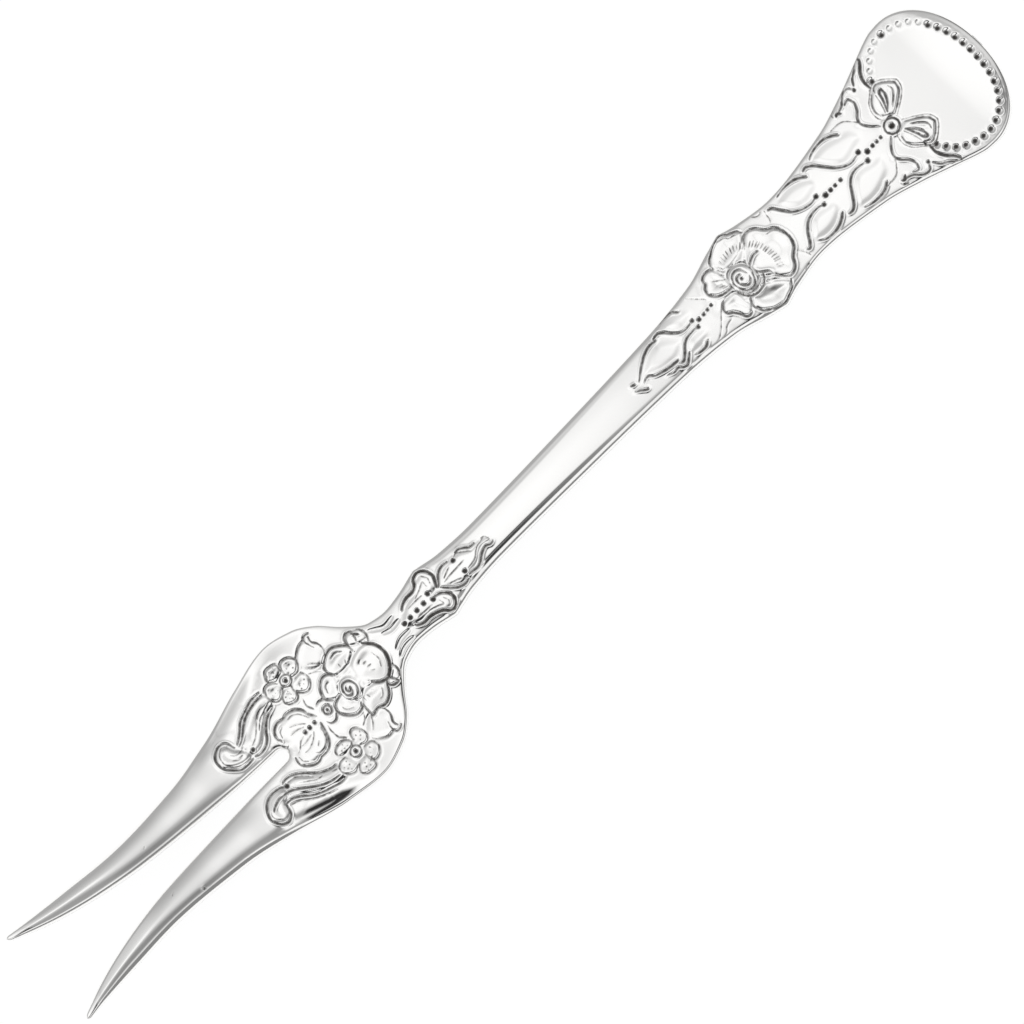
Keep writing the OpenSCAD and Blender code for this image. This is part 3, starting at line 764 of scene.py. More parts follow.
@dataclass(frozen=True)
class PearlBorder:
    """Row of punched pearls inside the edge of the handle's end."""

    line: Path = (
        (-86.8, 7.2), (-88.7, 9.8), (-91.6, 11.3), (-94.6, 11.65), (-97.5, 10.5), (-99.5, 8.2), (-100.7, 5.3),
        (-101.15, 2.2), (-101.15, -1.0), (-100.6, -4.1), (-99.3, -7.1), (-97.4, -9.6), (-94.5, -11.0),
        (-91.4, -11.1), (-88.8, -9.5), (-86.8, -7.2))
    count: int = 31
    radius: float = 0.6
    depth: float = 0.3
    middle: Point = (-90.0, 0.0)
    worn: tuple[int, ...] = (21, 22, 23, 24, 26, 27, 28, 29)
    worn_depth: float = 0.1
    worn_share: float = 0.85
    # Tarnish set off towards the middle: painted shade on each pearl's inner side, which leaves its outer
    # wall bright.
    painted_shade_offset: float = 0.18
    spread: float = 0.62

    def strike(self, relief: Relief) -> None:
        """Punches the pearls at even steps along their line, some of them worn nearly flat; in the others the
        tarnish is set off towards the middle as painted shade, leaving a bright crescent on the outer wall.

        Args:
            relief: the fields that take the ornament.
        """
        line = smooth_path(self.line)
        gone = np.concatenate([[0], np.cumsum(np.hypot(*np.diff(line, axis=0).T))])
        for number, s in enumerate(np.linspace(0, gone[-1], self.count)):
            at = (float(np.interp(s, gone, line[:, 0])), float(np.interp(s, gone, line[:, 1])))
            if number in self.worn:
                relief.punch(at, self.radius * self.worn_share, self.worn_depth, tarnished=False)
                continue
            # Painted shade: the pearl's tarnish is moved towards the middle, so its inner side is darker and
            # its outer wall stays bright.
            inward = Vector((self.middle[0] - at[0], self.middle[1] - at[1])).normalized() * self.painted_shade_offset
            relief.punch(at, self.radius, self.depth, True, (inward.x, inward.y), self.spread)


@dataclass(frozen=True)
class Bow:
    """Ribbon bow at the head of the handle's ornament, with its trailing ends."""

    knot: Point = (-84.1, 0.1)
    loop: Path = (
        (-86.0, 1.0), (-87.5, 1.9), (-88.9, 3.0), (-89.3, 4.0), (-89.2, 4.6), (-88.2, 5.6), (-87.0, 6.3),
        (-86.0, 6.0), (-85.3, 5.5), (-84.3, 4.6), (-83.8, 3.4), (-84.0, 2.1), (-85.0, 1.2))
    loop_turn: Path = ((-86.2, 6.1), (-85.9, 5.4))
    loop_right: Path = ((-85.4, 5.7), (-84.3, 4.6), (-83.8, 3.4), (-84.0, 2.2))
    loop_leaf: Path = (
        (-85.3, 2.1), (-86.3, 3.1), (-87.0, 4.3), (-86.9, 5.2), (-86.4, 4.9), (-86.0, 3.6), (-85.2, 1.9))
    loop_fold: Path = ((-85.7, 5.1), (-85.4, 3.6), (-84.8, 2.0))
    loop_inner: Path = ((-86.3, 1.9), (-87.6, 3.0), (-88.3, 4.0), (-88.1, 4.8))
    tail: Path = ((-86.0, 6.4), (-86.0, 8.0), (-86.6, 9.3), (-87.5, 10.3), (-88.0, 11.3), (-87.8, 11.6))
    tail_back: Path = ((-87.2, 11.3), (-86.2, 10.3), (-85.2, 9.7), (-84.4, 8.6))
    tail_curl: Path = (
        (-84.0, 8.3), (-83.4, 9.1), (-82.4, 9.1), (-81.5, 8.4), (-80.9, 7.8), (-79.8, 7.4))
    blob: Path = ((-80.0, 7.0), (-79.5, 7.4), (-79.1, 7.2))
    blob_line: Path = ((-79.6, 8.3), (-78.8, 8.0), (-78.6, 7.4))
    stem: Path = (
        (-82.8, 1.2), (-81.6, 2.4), (-81.0, 3.6), (-81.2, 4.6), (-82.1, 5.6), (-82.6, 6.8), (-82.2, 7.8),
        (-81.2, 7.5))
    branch: Path = ((-81.0, 3.8), (-80.2, 4.9), (-79.2, 5.9), (-78.0, 6.2), (-76.8, 6.2))
    tail_pit: Path = ((-84.0, 8.1),)
    outline_scale: float = 1.17

    def strike(self, relief: Relief) -> None:
        """Raises the two loops and cuts the bow's lines on both sides.

        Args:
            relief: the fields that take the ornament.
        """
        middle = np.mean(self.loop, 0)
        around = tuple(tuple(middle + self.outline_scale * (np.array(q) - middle)) for q in self.loop)
        loop_outer = self.loop[:7] + self.loop_turn
        for turn in (tuple, mirrored):
            relief.swell(turn(self.loop), 0.2, cup=0.08, edge=0.5)
            for tool, paths in (
                    (Tool.BOLD, (self.tail, self.blob)),
                    (Tool.GRAVER, (self.loop_leaf, self.tail_back, self.tail_curl, self.stem)),
                    (Tool.FINE, (loop_outer, self.loop_right, self.loop_inner)),
                    (Tool.HAIR, (around, self.loop_fold, self.branch, self.blob_line))):
                relief.cut_all(tuple(turn(path) for path in paths), tool)
            relief.punch(turn(self.tail_pit)[0], 0.3)
        relief.swell(ring(self.knot, 1.5), 0.26, edge=0.4)
        relief.cut(ring(self.knot, 1.3), closed=True)
        relief.punch(self.knot, 0.5)


@dataclass(frozen=True)
class Husk:
    """Pair of leaves that opens along the handle behind a short row of dots."""

    dots: Path
    radii: tuple[float, ...]
    upper: tuple[Path, ...]
    lower: tuple[Path, ...]
    pads: tuple[Path, ...]

    def strike(self, relief: Relief) -> None:
        """Raises the leaves, cuts their edges and punches the dots.

        Args:
            relief: the fields that take the ornament.
        """
        relief.swell_all(self.pads, 0.12, edge=1.3)
        for path in self.upper + self.lower:
            from_dot = min(math.dist(path[0], dot) for dot in self.dots) < 1.2
            relief.cut(path, tilt=0.4 if from_dot else -0.4)
        for at, r in zip(self.dots, self.radii):
            relief.punch(at, r)


HUSKS = (
    Husk(
        dots=((-81.6, 0.1), (-80.7, 0.1), (-79.8, 0.1), (-78.6, 0.15), (-77.6, 1.2), (-77.5, -0.8)),
        radii=(0.28, 0.3, 0.33, 0.45, 0.42, 0.42),
        upper=(
            ((-77.4, 5.6), (-76.3, 6.3), (-75.0, 6.5), (-73.5, 6.4), (-72.0, 6.0)),
            ((-77.0, 1.1), (-75.5, 0.8), (-74.3, 1.0), (-73.2, 1.8), (-72.2, 3.2), (-71.3, 4.4),
             (-70.5, 5.0), (-69.7, 5.0))),
        lower=(
            ((-77.0, -0.6), (-75.6, -0.4), (-74.4, -0.8), (-73.2, -1.7), (-72.0, -3.2), (-71.2, -4.3),
             (-70.2, -5.0), (-69.4, -4.9)),
            ((-77.3, -4.9), (-76.6, -5.5), (-75.3, -6.1), (-73.8, -6.2), (-72.3, -5.9), (-71.3, -5.4))),
        pads=(
            ((-79.6, 2.2), (-77.4, 1.6), (-75.0, 1.2), (-73.2, 2.2), (-71.6, 4.4), (-71.8, 5.6),
             (-74.0, 6.1), (-76.6, 5.6), (-79.0, 4.4)),
            ((-79.6, -2.2), (-77.4, -1.4), (-75.0, -1.0), (-73.2, -2.0), (-71.6, -4.2), (-71.8, -5.3),
             (-74.0, -5.7), (-76.6, -5.1), (-79.0, -4.2)))),
    Husk(
        dots=((-72.5, 0.3), (-71.3, 0.3), (-70.3, 0.3), (-69.2, 0.3), (-68.0, 1.15), (-68.0, -0.6)),
        radii=(0.33, 0.3, 0.36, 0.45, 0.36, 0.4),
        upper=(
            ((-67.7, 1.1), (-66.8, 0.8), (-65.4, 0.9), (-64.2, 1.4), (-63.2, 2.4), (-62.4, 3.6),
             (-61.7, 4.4), (-61.2, 4.3)),
            ((-69.1, 4.1), (-68.3, 4.7), (-67.2, 5.2), (-65.8, 5.4), (-64.4, 5.2), (-63.2, 4.5))),
        lower=(
            ((-67.7, -0.5), (-66.5, -0.4), (-65.0, -0.8), (-63.7, -1.6), (-62.8, -2.8), (-61.9, -4.2),
             (-61.2, -4.5)),
            ((-69.2, -3.8), (-68.2, -4.6), (-66.8, -5.1), (-65.0, -5.2), (-63.6, -4.9))),
        pads=(
            ((-69.4, 2.0), (-67.2, 1.3), (-65.2, 1.3), (-63.6, 2.6), (-62.9, 4.1), (-64.6, 4.8),
             (-67.0, 4.7), (-69.2, 3.6)),
            ((-69.4, -1.8), (-67.2, -1.0), (-65.2, -1.2), (-63.6, -2.4), (-62.9, -4.0), (-64.6, -4.7),
             (-67.0, -4.5), (-69.2, -3.4)))),
    Husk(
        dots=((-44.5, -0.3), (-43.6, -0.2), (-42.7, -0.1), (-41.6, -0.1), (-40.7, 0.65), (-40.7, -0.7)),
        radii=(0.27, 0.28, 0.3, 0.38, 0.33, 0.33),
        upper=(
            ((-40.5, 0.6), (-39.5, 0.5), (-38.3, 0.6), (-37.3, 1.1), (-36.3, 2.1), (-35.4, 2.8),
             (-34.8, 2.7)),
            ((-40.2, 3.2), (-39.4, 3.7), (-38.3, 3.7), (-37.2, 3.4)),
            ((-36.9, 2.5), (-36.0, 3.2), (-35.3, 3.7), (-34.6, 3.4), (-34.0, 2.9), (-33.1, 3.0),
             (-31.9, 2.6)),
            ((-34.8, 2.1), (-33.4, 2.0), (-32.0, 1.7), (-30.6, 1.2), (-29.6, 0.5), (-28.5, 0.9))),
        lower=(
            ((-40.5, -0.6), (-39.0, -0.5), (-38.0, -0.8), (-37.1, -1.6), (-36.3, -2.6), (-35.4, -3.2),
             (-34.4, -3.0)),
            ((-40.2, -3.2), (-39.4, -4.0), (-38.0, -4.2), (-36.8, -4.0)),
            ((-34.6, -2.6), (-33.2, -2.7), (-31.8, -2.3), (-30.4, -1.5), (-29.4, -0.8), (-28.5, -0.1),
             (-28.0, 0.2)),
            ((-28.4, 2.0), (-27.6, 1.4), (-26.6, 0.8)),
            ((-27.4, 0.0), (-26.7, -0.3))),
        pads=(
            ((-41.4, 1.6), (-39.6, 0.9), (-38.0, 1.0), (-36.8, 2.0), (-35.9, 3.0), (-37.4, 3.1),
             (-39.4, 3.2), (-41.0, 2.8)),
            ((-41.4, -1.6), (-39.6, -0.9), (-38.0, -1.2), (-36.8, -2.2), (-35.9, -3.2), (-37.4, -3.6),
             (-39.4, -3.6), (-41.0, -2.9)),
            ((-37.4, 0.2), (-35.0, 1.7), (-32.4, 1.5), (-30.2, 0.6), (-28.6, 0.2), (-30.4, -1.1),
             (-32.6, -2.1), (-34.8, -2.2)))))


@dataclass(frozen=True)
class Petal:
    """Petal of the handle's rose: the edge that is cut, and the points that close its pad behind it."""

    edge: Path
    root: Path
    cup: float

    @property
    def pad(self) -> Path:
        """The outline of the raised pad."""
        return self.edge[:-1] + self.root


@dataclass(frozen=True)
class HandleRose:
    """Open rose on the boss of the handle, with a rolled bud and five cupped petals."""

    bud: Point = (-50.75, -0.15)
    bud_edge: Path = (
        (-53.0, 1.0), (-52.6, 2.0), (-51.5, 2.5), (-50.3, 2.4), (-49.3, 1.7), (-48.8, 0.4), (-48.9, -1.0),
        (-49.6, -2.2), (-50.7, -2.6), (-51.9, -2.4), (-52.7, -1.7), (-53.1, -0.4))
    bud_rolls: tuple[Path, ...] = (
        ((-51.9, 0.4), (-51.6, 1.0), (-50.9, 1.3), (-50.3, 0.9), (-49.9, 0.1), (-50.1, -0.6), (-50.6, -0.8),
         (-51.1, -0.6)),
        ((-52.6, 0.3), (-52.0, 1.6), (-51.0, 2.1), (-49.9, 1.6), (-49.4, 0.5), (-49.3, -0.6), (-49.9, -1.5),
         (-50.8, -1.7), (-51.6, -1.2), (-51.9, -0.2)),
        ((-53.7, 1.5), (-53.2, 2.4), (-52.3, 3.0), (-51.0, 3.2), (-49.9, 2.8), (-49.1, 1.9), (-48.6, 0.5)),
        ((-52.8, -0.5), (-53.6, -1.1), (-54.6, -1.5), (-55.6, -1.4)),
        ((-53.1, 0.4), (-53.5, 1.2), (-54.6, 2.1), (-54.8, 2.9)))
    petals: tuple[Petal, ...] = (
        Petal(
            edge=(
                (-54.7, 3.2), (-55.3, 4.0), (-56.0, 4.6), (-56.6, 4.95), (-57.4, 4.8), (-58.2, 4.2),
                (-58.8, 3.2), (-59.4, 2.7), (-60.1, 2.1), (-60.5, 1.3), (-60.7, 0.3), (-60.6, -0.8),
                (-60.3, -1.7), (-59.7, -2.4), (-58.9, -2.8), (-58.4, -3.4), (-57.8, -4.2), (-57.0, -4.7),
                (-56.2, -4.8), (-55.4, -4.4), (-54.6, -3.4)),
            root=((-54.6, -3.4), (-52.6, -1.0), (-52.6, 1.4)),
            cup=0.12),
        Petal(
            edge=(
                (-56.0, 5.4), (-55.4, 6.2), (-54.8, 6.6), (-53.9, 6.9), (-53.2, 7.2), (-52.2, 7.25),
                (-51.2, 7.05), (-50.6, 6.6), (-50.0, 6.1), (-49.5, 5.7), (-49.2, 5.0), (-49.0, 4.3),
                (-49.3, 3.4), (-49.7, 2.9)),
            root=((-50.2, 2.6), (-52.4, 2.7), (-54.4, 3.6)),
            cup=0.22),
        Petal(
            edge=(
                (-55.9, -5.2), (-55.5, -5.9), (-54.9, -6.3), (-54.2, -6.6), (-53.6, -7.1), (-52.8, -7.4),
                (-51.8, -7.2), (-50.8, -6.8), (-49.8, -6.2), (-49.2, -5.8), (-48.7, -5.0), (-48.8, -4.3)),
            root=((-48.8, -4.3), (-49.8, -2.8), (-52.2, -2.7), (-54.4, -3.6)),
            cup=0.12),
        Petal(
            edge=(
                (-48.2, 4.7), (-47.4, 4.8), (-46.9, 4.3), (-46.6, 3.5), (-46.0, 2.6), (-45.4, 2.2),
                (-45.2, 1.5), (-45.5, 0.9), (-46.2, 0.3)),
            root=((-46.2, 0.3), (-48.4, 0.4), (-49.0, 2.4), (-49.0, 3.8)),
            cup=0.22),
        Petal(
            edge=(
                (-48.8, -0.3), (-47.4, -0.4), (-46.3, -0.8), (-45.6, -1.5), (-45.3, -2.2), (-45.5, -3.0),
                (-46.1, -3.6), (-46.2, -4.3), (-46.9, -4.8), (-47.9, -4.8), (-48.6, -4.4)),
            root=((-48.6, -4.4), (-49.2, -2.6)),
            cup=0.22))
    hairs: tuple[Path, ...] = (
        ((-60.3, -0.5), (-59.9, -1.6), (-59.3, -2.1), (-58.4, -2.3), (-58.0, -2.6)),
        ((-55.3, -5.5), (-54.4, -5.9), (-53.8, -6.0), (-53.3, -6.6), (-52.0, -7.0)),
        ((-60.2, 5.9), (-59.6, 5.6), (-58.6, 5.9)),
        ((-60.9, 5.0), (-60.6, 4.0), (-60.0, 3.1), (-59.6, 2.9)),
        ((-60.0, -3.1), (-60.4, -3.7), (-60.5, -4.5), (-60.7, -5.2)),
        ((-60.3, -5.6), (-59.8, -5.3), (-59.2, -5.4), (-58.6, -5.9)))
    stems: tuple[Path, ...] = (
        ((-45.9, 0.2), (-44.9, 1.1), (-43.6, 2.4), (-42.6, 3.3), (-41.6, 3.9), (-40.9, 4.1)),
        ((-45.2, 3.1), (-43.9, 3.4), (-43.0, 4.1), (-42.3, 4.3)),
        ((-44.6, -1.8), (-43.5, -3.0), (-42.4, -4.2)))
    ticks: tuple[Path, ...] = (
        ((-56.4, 2.7), (-56.8, 1.2), (-56.7, -0.6), (-56.2, -2.2), (-55.4, -3.1)),
        ((-54.2, -4.0), (-52.6, -4.5), (-51.0, -4.4), (-49.6, -3.7), (-48.4, -2.2)),
        ((-48.0, -1.0), (-47.6, -1.8), (-47.6, -2.8)))
    tick_counts: tuple[int, ...] = (14, 12, 4)
    tick_len: float = 1.0

    def strike(self, relief: Relief) -> None:
        """Raises the petals and the bud, and cuts the rose's lines.

        Args:
            relief: the fields that take the ornament.
        """
        relief.dome((-52.5, 0.0), 9.0, 0.3)
        for petal in self.petals:
            relief.swell(petal.pad, 0.24, petal.cup, edge=0.6)
        relief.swell(self.bud_edge, 0.36, edge=0.7)
        relief.cut_all(tuple(petal.edge for petal in self.petals) + self.bud_rolls)
        relief.cut(self.bud_edge, Tool.HAIR, closed=True)
        relief.cut_all(self.hairs + self.stems, Tool.HAIR)
        relief.punch(self.bud, 0.28)
        for path, count in zip(self.ticks, self.tick_counts):
            line = smooth_path(path)
            for k in np.linspace(0, len(line) - 1, count).astype(int):
                self.tick(relief, tuple(line[k]))

    def tick(self, relief: Relief, at: Point) -> None:
        """Cuts one short radial line, pointing at the bud."""
        away = Vector((at[0] - self.bud[0], at[1] - self.bud[1])).normalized() * self.tick_len / 2
        relief.cut(((at[0] - away.x, at[1] - away.y), (at[0] + away.x, at[1] + away.y)), Tool.HAIR)


@dataclass(frozen=True)
class CollarLeaf:
    """Leaf that lies up the neck from the collar, over a palmette with a row of dots."""

    leaf: tuple[Path, ...] = (
        ((5.7, 0.85), (6.3, 0.95), (6.7, 0.75), (7.1, 0.6), (7.6, 0.7), (8.3, 1.0), (9.0, 1.5), (9.6, 1.85),
         (10.3, 2.05), (11.3, 1.95), (12.0, 1.9)),
        ((8.0, -1.0), (9.0, -1.1), (9.6, -1.6), (10.4, -2.1), (11.2, -2.1)),
        ((12.4, 2.3), (13.5, 2.5), (14.6, 2.1), (15.6, 1.2), (16.6, 0.1)),
        ((13.0, -2.0), (14.3, -2.1), (15.4, -1.6), (16.8, -0.1)))
    palmette: tuple[Path, ...] = (
        ((18.2, 0.4), (17.2, 0.7), (16.3, 1.6), (16.1, 2.6), (16.6, 3.5), (17.5, 3.9), (18.2, 3.6),
         (18.8, 2.9), (19.8, 2.4), (21.0, 2.1), (22.2, 2.1), (23.2, 1.7), (23.5, 1.2)),
        ((17.0, -0.3), (16.5, -1.1), (16.1, -2.3), (16.6, -3.6), (17.6, -4.2), (18.7, -3.9), (19.2, -3.1),
         (20.2, -2.6), (21.6, -2.6), (22.8, -2.2), (23.4, -1.7)))
    fine: tuple[Path, ...] = (
        ((6.4, -0.7), (7.2, -0.5), (8.0, -0.35), (8.7, 0.1), (9.4, 0.7), (10.2, 1.0), (11.4, 1.1)),
        ((6.1, 0.5), (5.95, 0.0), (6.2, -0.6), (6.8, -0.8)),
        ((9.2, -0.4), (9.8, -1.0), (10.6, -1.6), (11.2, -1.95), (11.9, -1.75)),
        ((11.0, -0.3), (12.4, -0.2), (14.0, -0.15), (15.6, 0.0)),
        ((13.4, -1.2), (15.2, -0.5)), ((13.2, 1.5), (15.0, 0.8)),
        ((17.4, 1.5), (17.1, 2.4), (17.5, 3.1)), ((18.1, 1.4), (18.0, 2.3), (18.9, 1.9), (20.4, 1.4)),
        ((17.3, -1.4), (17.0, -2.4), (17.5, -3.3)), ((18.0, -1.5), (18.0, -2.5), (19.0, -2.1), (20.6, -1.5)),
        ((19.4, 1.1), (21.0, 1.0), (22.4, 0.9)), ((19.6, -1.1), (21.2, -1.2), (22.4, -1.2)))
    folds: tuple[Path, ...] = (
        ((25.0, 2.4), (27.0, 2.4), (28.5, 3.0)), ((25.0, -2.2), (27.0, -2.0), (28.4, -2.8), (29.3, -3.5)),
        ((24.6, 1.2), (26.6, 1.2), (28.2, 1.8)), ((24.6, -1.1), (26.6, -1.0), (28.0, -1.5)))
    dots: Path = (
        (12.1, 1.05), (12.25, -1.45), (18.7, 0.6), (18.7, -0.65), (20.2, 0.0), (21.7, 0.0), (23.2, 0.0),
        (24.5, 0.0))
    pads: tuple[Path, ...] = (
        ((5.6, 0.2), (7.4, 0.4), (9.2, 1.3), (11.2, 1.9), (13.8, 2.3), (15.4, 1.2), (16.8, 0.0),
         (15.2, -1.6), (13.4, -2.0), (11.0, -1.9), (9.2, -1.0), (7.2, -0.7)),
        ((18.2, 0.0), (17.0, 0.8), (16.2, 2.4), (17.2, 3.7), (18.4, 3.2), (20.0, 2.2), (23.4, 1.4),
         (24.8, 0.0), (23.0, -1.6), (20.2, -2.4), (18.8, -3.4), (17.2, -3.9), (16.2, -2.4), (17.0, -0.6)))

    def strike(self, relief: Relief) -> None:
        """Raises the leaf and the palmette and cuts their lines.

        Args:
            relief: the fields that take the ornament.
        """
        relief.swell_all(self.pads, 0.2, edge=0.8)
        relief.cut_all(self.folds, Tool.FOLD)
        relief.cut_all(self.fine, Tool.HAIR)
        relief.cut_all(self.leaf)
        relief.cut_all(self.palmette, Tool.BOLD)
        for at in self.dots:
            relief.punch(at, 0.42)


@dataclass(frozen=True)
class BowlRose:
    """Full rose in the bowl with its buds and leaves."""

    petals: tuple[Path, ...] = (
        ((34.6, 2.3), (33.6, 3.3), (32.2, 3.7), (30.9, 2.8), (30.0, 1.4), (29.8, 0.0), (30.1, -1.3),
         (30.9, -2.4), (32.6, -2.9), (35.2, -2.0), (35.8, 0.6)),
        ((33.0, 4.2), (34.0, 5.6), (35.4, 6.2), (36.8, 5.9), (38.1, 5.8), (38.3, 4.9), (38.1, 3.4),
         (36.6, 2.2), (34.4, 2.6)),
        ((38.2, -2.8), (38.4, -4.4), (37.7, -5.3), (36.4, -6.0), (35.2, -6.0), (34.0, -5.2), (33.2, -4.3),
         (33.2, -3.2), (35.0, -2.2), (37.0, -2.2)),
        ((38.1, 3.2), (38.5, 3.9), (39.8, 3.9), (41.0, 2.9), (41.6, 1.6), (41.1, 0.4), (39.4, -0.1),
         (38.4, 1.4)),
        ((39.4, 0.0), (40.8, -0.3), (41.6, -1.3), (41.3, -2.5), (40.4, -3.6), (39.3, -4.0), (38.3, -3.5),
         (37.9, -2.5), (38.4, -1.2)))
    edges: tuple[Path, ...] = (
        ((34.6, 2.3), (33.6, 3.3), (32.2, 3.7), (30.9, 2.8), (30.0, 1.4), (29.8, 0.0), (30.1, -1.3),
         (30.9, -2.4), (31.4, -2.9)),
        ((33.0, 4.2), (34.0, 5.6), (35.4, 6.2), (36.8, 5.7), (38.1, 5.9), (38.2, 4.9), (38.1, 3.6)),
        ((38.2, -3.0), (38.4, -4.4), (37.7, -5.3), (36.4, -6.0), (35.2, -6.0), (34.0, -5.2), (33.2, -4.3),
         (33.2, -3.2)),
        ((38.1, 3.2), (38.5, 3.9), (39.8, 3.9), (41.0, 2.9), (41.6, 1.6), (41.1, 0.4), (39.4, -0.1)),
        ((40.8, -0.3), (41.6, -1.3), (41.3, -2.5), (40.4, -3.6), (39.3, -4.0), (38.3, -3.5), (37.9, -2.7)))
    rolls: tuple[Path, ...] = (
        ((37.3, 0.3), (37.9, 0.9), (38.5, 0.3), (38.4, -0.8), (37.6, -1.4), (36.7, -0.9), (36.4, 0.2),
         (36.9, 1.3), (37.6, 1.7), (38.4, 1.4)),
        ((37.2, -0.2), (37.6, 0.3), (38.0, -0.1), (37.7, -0.6)))
    bud_ring: Path = (
        (36.0, 1.8), (35.4, 0.2), (35.8, -1.4), (36.9, -2.2), (38.2, -1.9), (39.1, -0.8), (39.1, 0.8),
        (38.2, 2.0), (37.0, 2.3))
    hairs: tuple[Path, ...] = (
        ((34.1, 4.1), (34.9, 5.0), (35.7, 5.0)), ((31.8, 1.8), (31.2, 0.6), (31.3, -0.8)),
        ((34.4, -4.4), (35.4, -5.0), (36.6, -4.9)), ((39.4, 2.8), (40.3, 2.3), (40.6, 1.5)),
        ((39.2, -2.8), (40.2, -2.5), (40.6, -1.6)), ((32.8, 1.3), (33.4, 0.9)), ((32.7, 0.3), (33.4, 0.2)),
        ((32.9, -0.6), (33.6, -0.5)), ((33.4, -1.4), (34.0, -1.0)), ((35.2, 3.4), (35.6, 2.7)),
        ((36.4, 3.7), (36.5, 3.0)), ((37.2, 3.6), (37.2, 2.9)), ((35.0, -3.3), (35.4, -2.6)),
        ((36.2, -3.6), (36.3, -2.9)))
    buds: tuple[Path, ...] = (
        ((30.8, 5.0), (30.3, 4.2), (30.3, 3.2), (30.6, 2.7)),
        ((31.4, 5.4), (32.4, 5.2), (33.0, 4.4), (32.4, 3.6), (31.8, 4.5), (31.4, 5.4)),
        ((30.4, -2.4), (29.9, -3.4), (30.0, -4.6), (30.4, -5.1)),
        ((31.1, -5.4), (32.0, -5.8), (33.0, -5.1), (33.2, -3.6)),
        ((30.7, -4.2), (31.3, -4.8), (31.7, -3.8)), ((31.3, -4.8), (31.5, -5.4)))
    bud_pads: tuple[Path, ...] = (
        ((30.5, 3.0), (30.3, 4.4), (31.2, 5.3), (32.6, 5.0), (32.8, 4.2), (31.8, 3.4)),
        ((30.4, -3.0), (30.0, -4.6), (31.2, -5.5), (32.6, -5.4), (33.0, -4.2), (31.8, -3.2)))
    leaves: tuple[Path, ...] = (
        ((36.5, 9.8), (36.7, 9.0), (36.2, 8.0), (36.1, 7.0), (36.5, 6.1), (37.2, 5.5)),
        ((36.0, 10.1), (36.7, 10.4), (37.4, 10.2), (37.5, 9.2), (37.2, 8.3)),
        ((37.6, 10.0), (39.0, 9.9), (40.2, 9.0), (40.8, 8.2)),
        ((36.5, -9.9), (36.7, -9.0), (36.2, -8.0), (36.2, -6.9), (36.8, -6.0)),
        ((36.0, -10.2), (36.8, -10.5), (37.4, -10.0), (37.3, -9.0), (37.0, -8.0)),
        ((37.5, -10.1), (38.7, -9.9), (40.0, -9.1), (40.6, -8.2)),
        ((43.5, 5.2), (44.3, 4.2), (44.4, 2.8), (44.2, 1.8)),
        ((43.9, -1.6), (44.3, -2.8), (43.9, -4.0)))
    veins: tuple[Path, ...] = (
        ((38.2, 5.4), (38.9, 6.6), (39.8, 7.5)), ((38.1, -5.2), (38.7, -6.3), (39.6, -7.0)),
        ((38.9, 4.6), (39.4, 5.3), (40.4, 5.9)), ((39.0, -4.8), (39.6, -5.4), (40.5, -5.9)))
    leaf_pad: Path = (
        (36.6, 6.2), (36.2, 7.4), (36.6, 9.0), (36.9, 10.2), (38.8, 9.8), (40.4, 8.6), (40.7, 6.8),
        (39.2, 5.4), (37.6, 5.4))
    heart_shift: Point = (0.25, 0.45)
    eye: Point = (42.5, 0.05)
    eye_lobes: tuple[Path, ...] = (
        ((41.8, 1.5), (42.7, 2.2), (43.6, 1.9), (43.9, 1.2)), ((41.7, -1.5), (42.6, -1.8), (43.5, -1.5)))

    def strike(self, relief: Relief) -> None:
        """Raises leaves, buds, petals and the rolled heart, in that order, and cuts their lines.

        Args:
            relief: the fields that take the ornament.
        """
        relief.dome((37.5, 0.0), 10.0, 0.25)
        relief.swell_all((self.leaf_pad, mirrored(self.leaf_pad)), 0.16, edge=0.9)
        relief.swell_all(self.bud_pads, 0.2, edge=0.5)
        relief.swell_all(self.petals, 0.26, cup=0.16)
        relief.origin = relief.origin + self.heart_shift
        relief.swell(self.bud_ring, 0.36, edge=0.6)
        relief.cut_all(self.rolls, tilt=-0.2)
        relief.origin = relief.origin - self.heart_shift
        relief.cut(self.edges[0], Tool.BOLD)
        relief.cut_all(self.edges[1:] + self.buds)
        relief.cut_all(self.leaves + self.eye_lobes, Tool.FINE, tilt=-0.3)
        relief.cut_all(self.veins + self.hairs, Tool.HAIR)
        relief.swell(ring(self.eye, 0.95), 0.2, edge=0.3)
        relief.cut(ring(self.eye, 0.7), closed=True)
        relief.punch(self.eye, 0.27)


@dataclass(frozen=True)
class Blossom:
    """Five-petalled blossom beside the bowl's rose, its petals pricked with flecks."""

    centre: Point
    petals: tuple[Path, ...]
    flecks: int = 5
    fleck_r: float = 0.12
    fleck_depth: float = 0.04

    def strike(self, relief: Relief) -> None:
        """Raises the petals round the ringed centre and cuts their edges.

        Args:
            relief: the fields that take the ornament.
        """
        relief.swell_all(self.petals, 0.2, cup=0.14, edge=0.45)
        relief.cut_all(self.petals, Tool.FINE)
        for number, path in enumerate(self.petals):
            middle = np.mean(path, 0)
            for fleck in range(self.flecks):
                angle = GOLDEN * (fleck + 3 * number)
                reach = 0.3 + 0.14 * fleck
                at = (middle[0] + reach * math.cos(angle), middle[1] + reach * math.sin(angle))
                relief.punch(at, self.fleck_r, self.fleck_depth)
        relief.swell(ring(self.centre, 1.15), 0.26, edge=0.35)
        relief.cut(ring(self.centre, 0.95), Tool.FINE, closed=True)
        relief.punch(self.centre, 0.38)


